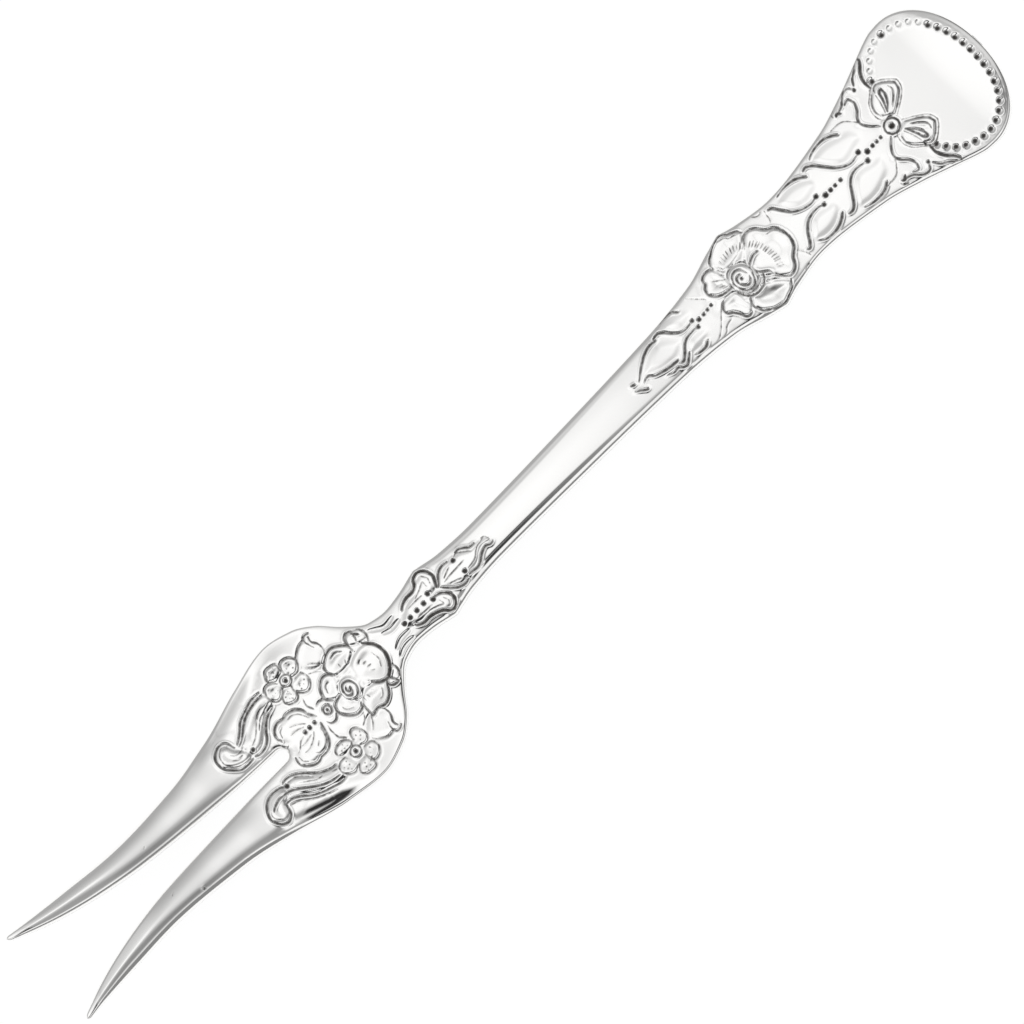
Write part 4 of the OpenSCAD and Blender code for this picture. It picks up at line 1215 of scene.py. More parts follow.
BLOSSOMS = (
    Blossom(
        centre=(44.0, 7.8),
        petals=(
            ((43.3, 9.4), (43.0, 10.6), (43.2, 11.6), (44.2, 11.8), (45.3, 11.5), (45.8, 10.5), (45.0, 9.5)),
            ((45.2, 9.5), (46.3, 10.0), (47.4, 9.4), (47.8, 8.2), (47.1, 7.2), (45.8, 7.2)),
            ((45.6, 6.8), (46.4, 6.4), (46.3, 5.4), (45.2, 5.0), (44.1, 5.2), (43.4, 6.0), (43.8, 6.8)),
            ((43.2, 6.4), (42.7, 5.2), (41.8, 5.0), (41.0, 5.8), (40.9, 7.2), (41.7, 8.0), (42.9, 7.6)),
            ((42.6, 8.2), (41.2, 8.4), (40.8, 9.6), (41.5, 10.7), (42.6, 11.0), (43.2, 10.4), (43.3, 9.2)))),
    Blossom(
        centre=(43.8, -7.8),
        petals=(
            ((42.6, -7.0), (41.3, -6.9), (40.9, -5.7), (41.5, -4.6), (42.5, -4.2), (43.5, -4.8), (44.0, -5.8),
             (43.7, -6.7)),
            ((43.9, -6.5), (44.0, -5.0), (44.8, -4.4), (46.0, -4.8), (46.4, -5.6), (46.0, -6.5),
             (45.0, -7.0)),
            ((45.2, -7.2), (46.2, -6.4), (47.1, -6.5), (47.6, -7.4), (47.5, -8.7), (46.8, -9.4), (45.6, -9.1),
             (45.0, -8.4)),
            ((43.3, -9.3), (43.1, -10.6), (43.8, -11.0), (45.0, -11.1), (45.6, -10.4), (45.9, -9.6),
             (44.9, -8.9)),
            ((42.8, -7.6), (41.6, -7.4), (40.6, -8.2), (40.5, -9.2), (41.2, -10.1), (42.4, -10.3),
             (43.1, -9.5), (43.1, -8.6)))))


@dataclass(frozen=True)
class BellFlower:
    """Bell flower that hangs over the root of the slot."""

    body: Path = (
        (44.5, 0.0), (45.0, 1.8), (45.6, 3.4), (46.6, 4.3), (48.2, 4.5), (50.2, 4.3), (51.1, 3.4),
        (51.1, 1.9), (50.5, 0.0), (50.9, -1.6), (51.0, -2.6), (50.4, -3.8), (48.3, -4.0), (46.3, -3.8),
        (45.4, -2.8), (45.0, -1.6))
    bold: tuple[Path, ...] = (
        ((44.6, 0.6), (45.0, 1.8), (45.6, 3.4), (46.6, 4.3), (47.7, 4.5), (48.2, 4.5)),
        ((48.2, 4.4), (49.2, 4.7), (50.2, 4.4), (51.2, 3.5), (51.5, 2.6), (51.3, 1.6)),
        ((44.4, -0.5), (45.0, -1.6), (45.3, -2.8), (46.2, -3.8), (47.5, -4.2), (48.3, -4.0)),
        ((48.3, -4.0), (49.5, -4.2), (50.6, -3.7), (51.2, -2.6), (51.0, -1.6)))
    fine: tuple[Path, ...] = (
        ((45.2, 1.2), (45.8, 3.0), (46.9, 3.9), (47.9, 3.9), (48.5, 3.4)),
        ((50.3, 3.5), (50.8, 2.9), (50.9, 1.9)),
        ((46.3, 0.8), (47.4, 1.7), (48.6, 2.2), (49.7, 2.25)), ((47.0, 0.9), (48.2, 1.1), (49.2, 1.15)),
        ((46.8, 2.4), (47.5, 2.9)), ((48.0, 0.2), (49.0, 0.5), (49.8, 1.2), (50.5, 1.5)),
        ((45.4, -1.2), (46.0, -2.6), (47.0, -3.4), (47.9, -3.4)), ((46.4, -0.9), (47.5, -1.8), (48.6, -2.3)),
        ((47.0, -0.8), (48.2, -1.2), (49.3, -1.3)), ((49.4, -3.2), (50.2, -2.8), (50.5, -2.0)))
    dots: Path = ((45.3, 0.0), (46.4, 0.0), (47.4, 0.0))

    def strike(self, relief: Relief) -> None:
        """Raises the flower and cuts its lines.

        Args:
            relief: the fields that take the ornament.
        """
        relief.swell(self.body, 0.24, edge=0.9)
        relief.cut_all(self.bold)
        relief.cut_all(self.fine, Tool.HAIR)
        for at in self.dots:
            relief.punch(at, 0.36)


@dataclass(frozen=True)
class TineScroll:
    """Acanthus scroll that runs from the bowl on to one tine."""

    pads: tuple[Path, ...]
    bold: tuple[Path, ...]
    fine: tuple[Path, ...]
    pit: Point
    pit_r: float

    def strike(self, relief: Relief) -> None:
        """Raises the scroll's stem and curl and cuts its lines.

        Args:
            relief: the fields that take the ornament.
        """
        relief.swell_all(self.pads, 0.24, cup=0.1, edge=0.6)
        relief.cut_all(self.bold)
        relief.cut_all(self.fine, Tool.HAIR)
        relief.punch(self.pit, self.pit_r)


SCROLLS = (
    TineScroll(
        pads=(
            ((47.4, 7.4), (48.0, 9.2), (51.0, 8.5), (54.0, 6.9), (56.6, 5.6), (56.0, 3.8), (53.8, 3.6),
             (51.4, 5.6), (49.4, 6.8)),
            ((55.8, 4.6), (57.4, 5.8), (58.0, 7.3), (59.2, 7.8), (60.4, 6.8), (60.3, 5.0), (58.8, 3.6),
             (56.6, 3.4))),
        bold=(
            ((47.8, 9.5), (49.0, 9.5), (50.2, 9.1), (51.4, 8.7), (52.6, 8.2), (53.6, 7.6), (54.6, 6.8),
             (55.6, 6.1), (56.6, 5.75), (57.3, 5.8)),
            ((57.4, 6.0), (57.7, 7.0), (58.2, 7.7), (59.0, 8.1), (59.9, 7.8), (60.5, 7.0), (60.8, 6.0),
             (60.5, 5.0), (59.8, 4.0), (58.8, 3.3), (57.6, 3.1), (56.4, 3.3), (55.8, 3.7)),
            ((48.2, 8.6), (49.6, 8.4), (51.0, 7.9), (52.4, 7.0), (53.8, 5.9), (55.0, 5.0), (56.2, 4.6),
             (57.6, 4.5), (58.8, 4.9), (59.6, 5.4)),
            ((47.4, 6.9), (48.4, 6.9), (49.4, 6.5), (50.3, 6.0), (51.2, 5.2), (52.0, 4.3), (53.0, 3.5),
             (54.0, 3.0), (55.0, 2.9), (55.6, 3.1))),
        fine=(
            ((50.2, 9.9), (51.8, 9.3), (53.4, 8.5), (54.6, 7.6), (55.6, 6.9), (56.6, 6.5), (57.2, 6.4)),
            ((59.4, 7.1), (60.0, 6.8), (60.3, 5.8), (60.0, 5.1)),
            ((50.3, 6.6), (51.2, 6.5), (52.3, 5.8), (53.6, 4.9)), ((48.0, 7.6), (48.8, 7.3)),
            ((51.4, 5.7), (52.6, 4.4), (53.6, 3.7), (54.8, 3.5))),
        pit=(55.4, 3.85),
        pit_r=0.42),
    TineScroll(
        pads=(
            ((47.6, -7.2), (48.0, -8.8), (51.0, -8.6), (54.0, -7.2), (56.2, -6.0), (55.8, -3.8), (53.8, -3.4),
             (51.2, -5.2), (49.2, -6.6)),
            ((55.6, -4.4), (57.0, -5.8), (57.6, -7.2), (58.8, -7.6), (60.0, -6.6), (59.9, -4.9), (58.4, -3.6),
             (56.4, -3.2))),
        bold=(
            ((48.0, -6.5), (49.2, -6.2), (50.3, -5.7), (51.4, -4.7), (52.4, -3.5), (53.4, -2.9), (54.6, -2.7),
             (55.5, -2.95)),
            ((55.9, -2.9), (57.2, -2.85), (58.4, -3.0), (59.4, -3.8), (60.2, -4.8), (60.4, -5.8),
             (60.2, -6.9), (59.4, -7.7), (58.4, -8.1), (57.5, -7.9), (57.0, -7.2), (56.8, -6.2)),
            ((56.2, -5.9), (55.4, -6.2), (54.4, -6.9), (53.4, -7.7), (52.2, -8.4), (50.8, -8.8), (49.2, -9.0),
             (48.0, -8.9)),
            ((48.0, -9.5), (49.8, -9.6), (51.6, -9.1), (53.2, -8.5), (54.4, -7.5), (55.6, -6.6),
             (56.2, -6.2))),
        fine=(
            ((56.0, -3.3), (57.6, -3.4), (58.8, -3.9), (59.6, -4.9), (59.7, -6.0), (59.2, -7.1),
             (58.2, -7.6), (57.4, -7.2)),
            ((56.7, -4.5), (57.6, -4.4), (58.4, -4.9)),
            ((55.8, -5.3), (56.8, -5.1), (57.6, -5.2), (58.1, -5.7)),
            ((48.4, -7.6), (50.2, -7.4), (51.8, -6.4), (53.2, -5.2), (54.6, -4.5)),
            ((49.6, -6.9), (51.0, -6.4), (52.2, -5.4))),
        pit=(55.0, -3.9),
        pit_r=0.36))


@dataclass(frozen=True)
class Nicks:
    """Small knocks and scratches from use on the tines."""

    nick: Path = ((75.5, 6.3), (75.7, 6.75), (75.9, 7.15))
    scratches: tuple[Path, ...] = (((79.2, 3.6), (79.9, 4.0)), ((77.4, -4.7), (77.9, -4.3)))

    def strike(self, relief: Relief) -> None:
        """Cuts the marks."""
        relief.cut(self.nick, Tool.FINE)
        relief.cut_all(self.scratches, Tool.SCRATCH)


@dataclass
class ForkBody:
    """The fork in one skin: a sheet that wraps each cross-section, drawn to the blank and struck."""

    blank: Blank
    relief: Relief
    face_columns: int = 20
    bevel_columns: int = 5
    edge_columns: int = 4
    wall_columns: int = 1
    heel_columns: int = 2
    back_columns: int = 3
    swell_cell: float = 0.41
    line_cell: float = 0.205
    passes: int = 4
    weld: float = 0.0004

    def __post_init__(self) -> None:
        """Works out where each band of columns ends, and the stations along the fork."""
        counts = (self.face_columns, self.bevel_columns, self.edge_columns, self.wall_columns,
                  self.heel_columns, self.back_columns)
        self.bands = np.cumsum(counts)
        self.half = int(self.bands[-1])
        self.stations = self.lay_stations()
        self.root = int(np.argmin(np.abs(self.stations - self.blank.x_root)))

    def lay_stations(self) -> np.ndarray:
        """Places the cross-sections along the fork: close where there is ornament or a tight curve.

        Returns:
            Their x, from the handle's end to the tines' points.
        """
        blank = self.blank
        r, point = blank.slot_w / 2, 0.8
        end = blank.x_wide - blank.end_r * np.cos(np.radians(np.arange(0, 90, 3.0)))
        handle = spaced([
            (blank.x_wide, 0.7), (-63.0, 0.45), (-44.0, 0.3), (-27.0, 0.5), (-24.0, 1.5), (2.0, 0.9),
            (5.0, 0.28), (25.0, 0.3), (29.0, 0.6), (33.0, 0.66), (blank.x_root, 0.66)])
        root = blank.x_root + r * (1 - np.cos(np.radians(np.arange(0, 90, 11.25))))
        tines = spaced([
            (blank.x_root + r, 0.45), (61.0, 0.55), (66.0, 1.1), (blank.x_tip - 6, 1.0),
            (blank.x_tip - point, 0.4)])
        tips = blank.x_tip - point + point * np.sin(np.radians(np.arange(0, 91, 15)))
        return np.concatenate([end, handle, root, tines, tips])

    def spot(self, i: np.ndarray, v: np.ndarray) -> tuple[np.ndarray, np.ndarray]:
        """The plan position of the sheet's points on the +Y half.

        Args:
            i: station numbers, whole or between two.
            v: column numbers from 0 at the middle of the face to the middle of the back.

        Returns:
            x and y of each point.
        """
        blank = self.blank
        x = np.interp(i, np.arange(len(self.stations)), self.stations)
        outer, inner = blank.sides_of(x)
        room = outer - inner
        bevel = np.minimum(blank.bevel(x), 0.4 * room)
        edge = np.minimum(blank.edge_r, 0.15 * room)
        heel = np.minimum(blank.back_r, 0.2 * room)
        face, rim, edge_end, wall_end, heel_end, back_end = self.bands
        plain = (room - bevel) * np.clip(v / face, 0, 1)
        lips = np.interp(v, [0, 1, 2, 3], [0, 0.04, 0.13, blank.slot_lip])
        beyond = (room - bevel - blank.slot_lip) * (v - 3) / (face - 3)
        lipped = np.where(v < 3, lips, blank.slot_lip + beyond)
        near_slot = ramp(blank.x_root - 2.5, blank.x_root - 0.3, x)
        y = inner + plain * (1 - near_slot) + np.clip(lipped, 0, room - bevel) * near_slot
        share = np.clip((v - face) / (rim - face), 0, 1)
        y = np.where(v > face, outer - bevel + (bevel - edge) * share, y)
        turn = np.clip((v - rim) / (edge_end - rim), 0, 1) * math.pi / 2
        y = np.where(v > rim, outer - edge * (1 - np.sin(turn)), y)
        y = np.where(v > edge_end, outer, y)
        turn = np.clip((v - wall_end) / (heel_end - wall_end), 0, 1) * math.pi / 2
        y = np.where(v > wall_end, outer - heel * (1 - np.cos(turn)), y)
        share = np.clip((v - heel_end) / (back_end - heel_end), 0, 1)
        y = np.where(v > heel_end, outer - heel + (inner - outer + heel) * share, y)
        return x, y

    def face_height(self, x: np.ndarray, y: np.ndarray) -> np.ndarray:
        """Height of the finished face with its bevel, lip and relief.

        Args:
            x: places along the fork.
            y: places across it.

        Returns:
            The height at each point.
        """
        blank = self.blank
        inset = blank.outline_inset(x, y)
        room = np.diff(blank.sides_of(x)[::-1], axis=0)[0]
        lip = np.full(x.shape, 3.0)
        near = x > blank.x_root - 1
        lip[near] = blank.outline_inset(x[near], y[near], inner=True)
        bevel = blank.edge_drop(x, inset, np.minimum(blank.bevel(x), 0.4 * room))
        lipped = blank.edge_drop(x, lip, np.minimum(blank.lip_w, 0.3 * room))
        width = blank.facet(x)
        into = np.clip(blank.bevel(x) + width - inset, 0, width)
        shoulder = blank.facet_slope(x) / (2 * width) * into ** 2
        z = blank.face(x, y) - np.maximum(bevel, lipped) - shoulder
        fade = ramp(0.15, 0.9, inset) * ramp(0.0, 0.35, lip)
        return z + fade * self.relief.sample(self.relief.height, x, y)

    def heel_height(self, x: np.ndarray, y: np.ndarray) -> np.ndarray:
        """Height of the back with its rounded lower edge.

        Args:
            x: places along the fork.
            y: places across it.

        Returns:
            The height at each point.
        """
        blank = self.blank
        room = np.diff(blank.sides_of(x)[::-1], axis=0)[0]
        r = np.minimum(np.minimum(blank.back_r, 0.2 * room), blank.metal(x) * 0.42) + 1e-6
        short = np.clip(r - blank.outline_inset(x, y), 0, r)
        return blank.back(x, y) + r - np.sqrt(np.clip(r * r - short**2, 0, None))

    def place(self, i: np.ndarray, v: np.ndarray, side: np.ndarray) -> np.ndarray:
        """The finished position of the sheet's points.

        Args:
            i: station numbers.
            v: column numbers, counted from the middle of the face.
            side: 1 or -1 for each point.

        Returns:
            One row of x, y and z for each point.
        """
        x, y = self.spot(i, v)
        y = y * side
        z = np.empty_like(x)
        top = v <= self.bands[2]
        z[top] = self.face_height(x[top], y[top])
        low = v >= self.bands[3]
        z[low] = self.heel_height(x[low], y[low])
        wall = ~top & ~low
        share = (v[wall] - self.bands[2]) / (self.bands[3] - self.bands[2])
        high_z = self.face_height(x[wall], y[wall])
        low_z = self.heel_height(x[wall], y[wall])
        z[wall] = high_z * (1 - share) + low_z * share
        return np.stack([x, y, z], axis=1)

    def refine(self, bm: bmesh.types.BMesh) -> int:
        """Splits the sheet's cells where they lie on the ornament and are still coarse.

        Args:
            bm: the sheet, in station and column numbers.

        Returns:
            How many cells were split.
        """
        quads = [face for face in bm.faces if len(face.verts) >= 4]
        corners = np.array([[loop.vert.co[:2] for loop in face.loops][:4] for face in quads], float)
        low, high = corners.min(1), corners.max(1)
        middle = (low + high) / 2
        on_face = np.abs(middle[:, 1]) < self.bands[0]
        at_slot = (np.abs(low[:, 1]) < 1e-4) | (np.abs(high[:, 1]) < 1e-4)
        free = on_face & ~(at_slot & (high[:, 0] > self.root - 1))
        busy = np.zeros(len(quads))
        for u, w in ((0.5, 0.5), (0.05, 0.05), (0.95, 0.05), (0.05, 0.95), (0.95, 0.95)):
            i = low[:, 0] + (high[:, 0] - low[:, 0]) * u
            j = low[:, 1] + (high[:, 1] - low[:, 1]) * w
            x, y = self.spot(i, np.abs(j))
            busy = np.maximum(busy, self.relief.sample(self.relief.busy, x, y * np.sign(j)))
        x0, y0 = self.spot(low[:, 0], np.abs(low[:, 1]))
        x1, y1 = self.spot(high[:, 0], np.abs(high[:, 1]))
        size = np.maximum(np.abs(x1 - x0), np.abs(y1 * np.sign(high[:, 1]) - y0 * np.sign(low[:, 1])))
        wanted = np.where(busy > 1.01, self.line_cell, self.swell_cell)
        chosen = np.flatnonzero(free & (busy > 0.01) & (size > wanted))
        edges = {edge for k in chosen for edge in quads[k].edges}
        bmesh.ops.subdivide_edges(bm, edges=list(edges), cuts=1, use_grid_fill=True)
        return len(chosen)

    def sheet(self) -> bmesh.types.BMesh:
        """Lays out the sheet in station and column numbers, fine on the ornament and slit at the slot.

        Returns:
            The flat sheet.
        """
        bm = bmesh.new()
        last = len(self.stations) - 1
        spread = Matrix.Translation((last / 2, 0, 0)) @ Matrix.Diagonal((last, 2 * self.half, 1, 1))
        bmesh.ops.create_grid(bm, x_segments=last, y_segments=2 * self.half, size=0.5, matrix=spread)
        for _ in range(self.passes):
            split = self.refine(bm)
            log.info("refined %d cells, %d in all", split, len(bm.faces))
            if split == 0:
                break
        seam = [e for e in bm.edges
                if all(abs(v.co.y) < 1e-4 and v.co.x > self.root - 1e-4 for v in e.verts)]
        bmesh.ops.split_edges(bm, edges=seam)
        return bm

    def draw(self, bm: bmesh.types.BMesh) -> None:
        """Brings the sheet's points to their places on the fork and marks the tarnish.

        Args:
            bm: the flat sheet.
        """
        bm.verts.ensure_lookup_table()
        co = np.array([v.co[:] for v in bm.verts], float)
        side = np.sign(np.round(co[:, 1], 4))
        for k in np.flatnonzero((side == 0) & (co[:, 0] > self.root + 1e-4)):
            vert = bm.verts[int(k)]
            side[k] = np.sign(sum(v.co.y for face in vert.link_faces for v in face.verts))
        side[side == 0] = 1
        placed = self.place(co[:, 0], np.abs(co[:, 1]), side)
        # The tarnish attribute holds the patina in the cuts, and on the pearls' inner sides painted shade as
        # well.
        dark = bm.verts.layers.float.new("tarnish")
        shade = self.relief.sample(self.relief.dark, placed[:, 0], placed[:, 1])
        shade = np.where(np.abs(co[:, 1]) <= self.bands[1], shade, 0)
        for vert, at, value in zip(bm.verts, placed, shade):
            vert.co = at
            vert[dark] = value

    def line_slot(self, bm: bmesh.types.BMesh) -> None:
        """Adds the inner wall of each tine between the face and the back.

        Args:
            bm: the sheet, in its place.
        """
        count, rows = len(self.stations) - 1 - self.root, 2
        middle = Matrix.Translation((self.root + count / 2, rows / 2, 0))
        spread = middle @ Matrix.Diagonal((count, rows, 1, 1))
        for side in (1, -1):
            made = bmesh.ops.create_grid(bm, x_segments=count, y_segments=rows, size=0.5, matrix=spread)
            co = np.array([v.co[:] for v in made["verts"]], float)
            sides = np.full(len(co), side)
            top = self.place(co[:, 0], np.zeros(len(co)), sides)
            low = self.place(co[:, 0], np.full(len(co), float(self.half)), sides)
            share = (co[:, 1] / rows)[:, None]
            for vert, at in zip(made["verts"], top * share + low * (1 - share)):
                vert.co = at

    def close(self, bm: bmesh.types.BMesh) -> None:
        """Welds the seams, fills the tines' points and turns every face outwards.

        Args:
            bm: the sheet with the slot's walls.
        """
        bmesh.ops.remove_doubles(bm, verts=bm.verts, dist=self.weld)
        bmesh.ops.dissolve_degenerate(bm, dist=self.weld / 4, edges=bm.edges)
        rim = [e for e in bm.edges if e.is_boundary]
        bmesh.ops.holes_fill(bm, edges=rim, sides=0)
        bmesh.ops.recalc_face_normals(bm, faces=bm.faces)
        if bm.calc_volume(signed=True) < 0:
            bmesh.ops.reverse_faces(bm, faces=bm.faces)

    def build(self) -> bpy.types.Object:
        """Makes the fork.

        Returns:
            The finished object, in metres, at the origin.
        """
        bm = self.sheet()
        self.draw(bm)
        self.line_slot(bm)
        self.close(bm)
        loose = sum(1 for e in bm.edges if not e.is_manifold)
        bmesh.ops.transform(bm, matrix=Matrix.Scale(MM, 4), verts=bm.verts)
        mesh = bpy.data.meshes.new("silver_fork")
        bm.to_mesh(mesh)
        bm.free()
        mesh.polygons.foreach_set("use_smooth", [True] * len(mesh.polygons))
        triangles = sum(len(p.vertices) - 2 for p in mesh.polygons)
        log.info("fork: %d triangles, %d open edges", triangles, loose)
        body = bpy.data.objects.new("silver_fork", mesh)
        bpy.context.scene.collection.objects.link(body)
        return body


def bare_material(name: str) -> bpy.types.Material:
    """Makes a node material without any nodes yet.

    Args:
        name: its name.

    Returns:
        The material.
    """
    made = bpy.data.materials.new(name)
    made.use_nodes = True
    made.node_tree.nodes.clear()
    return made


def add_node(tree: bpy.types.NodeTree, kind: str, inputs: dict[str | int, object] | None = None,
             **settings: object) -> bpy.types.Node:
    """Adds a shader node.

    Args:
        tree: the nodes that it joins.
        kind: its type.
        inputs: a value, or the socket that feeds it, for each of its inputs that is set.
        settings: its other properties.

    Returns:
        The node.
    """
    node = tree.nodes.new(kind)
    for key, value in settings.items():
        setattr(node, key, value)
    for key, value in (inputs or {}).items():
        if isinstance(value, bpy.types.NodeSocket):
            tree.links.new(value, node.inputs[key])
        else:
            node.inputs[key].default_value = value
    return node


def combined(tree: bpy.types.NodeTree, operation: str, a: object, b: object) -> bpy.types.NodeSocket:
    """The result of a sum on two numbers or sockets."""
    return add_node(tree, "ShaderNodeMath", {0: a, 1: b}, operation=operation).outputs["Value"]


def tone_ramp(tree: bpy.types.NodeTree, value: bpy.types.NodeSocket,
              stops: tuple[Point, ...]) -> bpy.types.NodeSocket:
    """Turns a value into a grey tone.

    Args:
        tree: the nodes that the ramp joins.
        value: the socket that gives the value.
        stops: pairs of value and tone.

    Returns:
        The socket that gives the tone.
    """
    node = add_node(tree, "ShaderNodeValToRGB", {"Fac": value})
    elements = node.color_ramp.elements
    while len(elements) < len(stops):
        elements.new(1.0)
    for element, (at, tone) in zip(elements, stops):
        element.position = at
        element.color = (tone, tone, tone, 1)
    return node.outputs["Color"]


@dataclass(frozen=True)
class SilverFinish:
    """Polished silver, hand-rubbed smooth on top, with old tarnish left in the cuts."""

    polish: tuple[float, float, float] = (0.965, 0.96, 0.95)
    # Besides the patina in the cuts, this dark is painted shade on the inner side of each pearl, where its
    # patch is set off.
    tarnish: tuple[float, float, float] = (0.034, 0.028, 0.024)
    roughness: float = 0.1
    tarnish_roughness: float = 0.5
    tarnish_cover: tuple[Point, ...] = ((0.41, 0.0), (0.56, 0.8), (0.65, 0.9), (0.8, 0.97))
    cloud_scale: float = 1400.0
    raggedness: float = 0.06
    rub_scale: float = 900.0
    rub_stretch: tuple[float, float, float] = (1.0, 9.0, 9.0)
    rub_turn: float = 0.25
    bump: float = 0.06
    bump_height: float = 0.00002

    def material(self) -> bpy.types.Material:
        """Builds the finish.

        Returns:
            The material, which reads the mesh's tarnish attribute.
        """
        made = bare_material("polished_silver")
        tree = made.node_tree
        place = add_node(tree, "ShaderNodeTexCoord").outputs["Object"]
        mask = self.tarnish_mask(tree, place)
        colour = add_node(tree, "ShaderNodeMix", {
            "A": (*self.polish, 1), "B": (*self.tarnish, 1), "Factor": mask}, data_type="RGBA")
        stretch = add_node(tree, "ShaderNodeMapping", {
            "Vector": place, "Scale": self.rub_stretch, "Rotation": (0.0, 0.0, self.rub_turn)})
        rubbing = add_node(tree, "ShaderNodeTexNoise", {
            "Vector": stretch.outputs["Vector"], "Scale": self.rub_scale, "Detail": 4.0})
        rubbed = add_node(tree, "ShaderNodeMapRange", {
            "Value": rubbing.outputs["Fac"], "To Min": self.roughness * 0.7, "To Max": self.roughness * 1.3})
        rough = add_node(tree, "ShaderNodeMix", {
            "A": rubbed.outputs["Result"], "B": self.tarnish_roughness, "Factor": mask})
        bump = add_node(tree, "ShaderNodeBump", {
            "Strength": self.bump, "Distance": self.bump_height, "Height": rubbing.outputs["Fac"]})
        shader = add_node(tree, "ShaderNodeBsdfPrincipled", {
            "Metallic": 1.0, "Base Color": colour.outputs["Result"], "Roughness": rough.outputs["Result"],
            "Normal": bump.outputs["Normal"]})
        add_node(tree, "ShaderNodeOutputMaterial", {"Surface": shader.outputs["BSDF"]})
        return made

    def tarnish_mask(self, tree: bpy.types.NodeTree, place: bpy.types.NodeSocket) -> bpy.types.NodeSocket:
        """Marks where tarnish is left, with a slightly ragged edge.

        Args:
            tree: the finish's nodes.
            place: the socket that gives the place on the fork.

        Returns:
            The socket that gives the tarnish, from 0 to 1.
        """
        depth = add_node(tree, "ShaderNodeAttribute", attribute_name="tarnish").outputs["Fac"]
        clouds = add_node(tree, "ShaderNodeTexNoise", {
            "Vector": place, "Scale": self.cloud_scale, "Detail": 3.0})
        uneven = add_node(tree, "ShaderNodeMapRange", {
            "Value": clouds.outputs["Fac"], "From Min": 0.3, "From Max": 0.7, "To Min": -self.raggedness,
            "To Max": self.raggedness})
        ragged = combined(tree, "ADD", depth, uneven.outputs["Result"])
        return tone_ramp(tree, ragged, self.tarnish_cover)


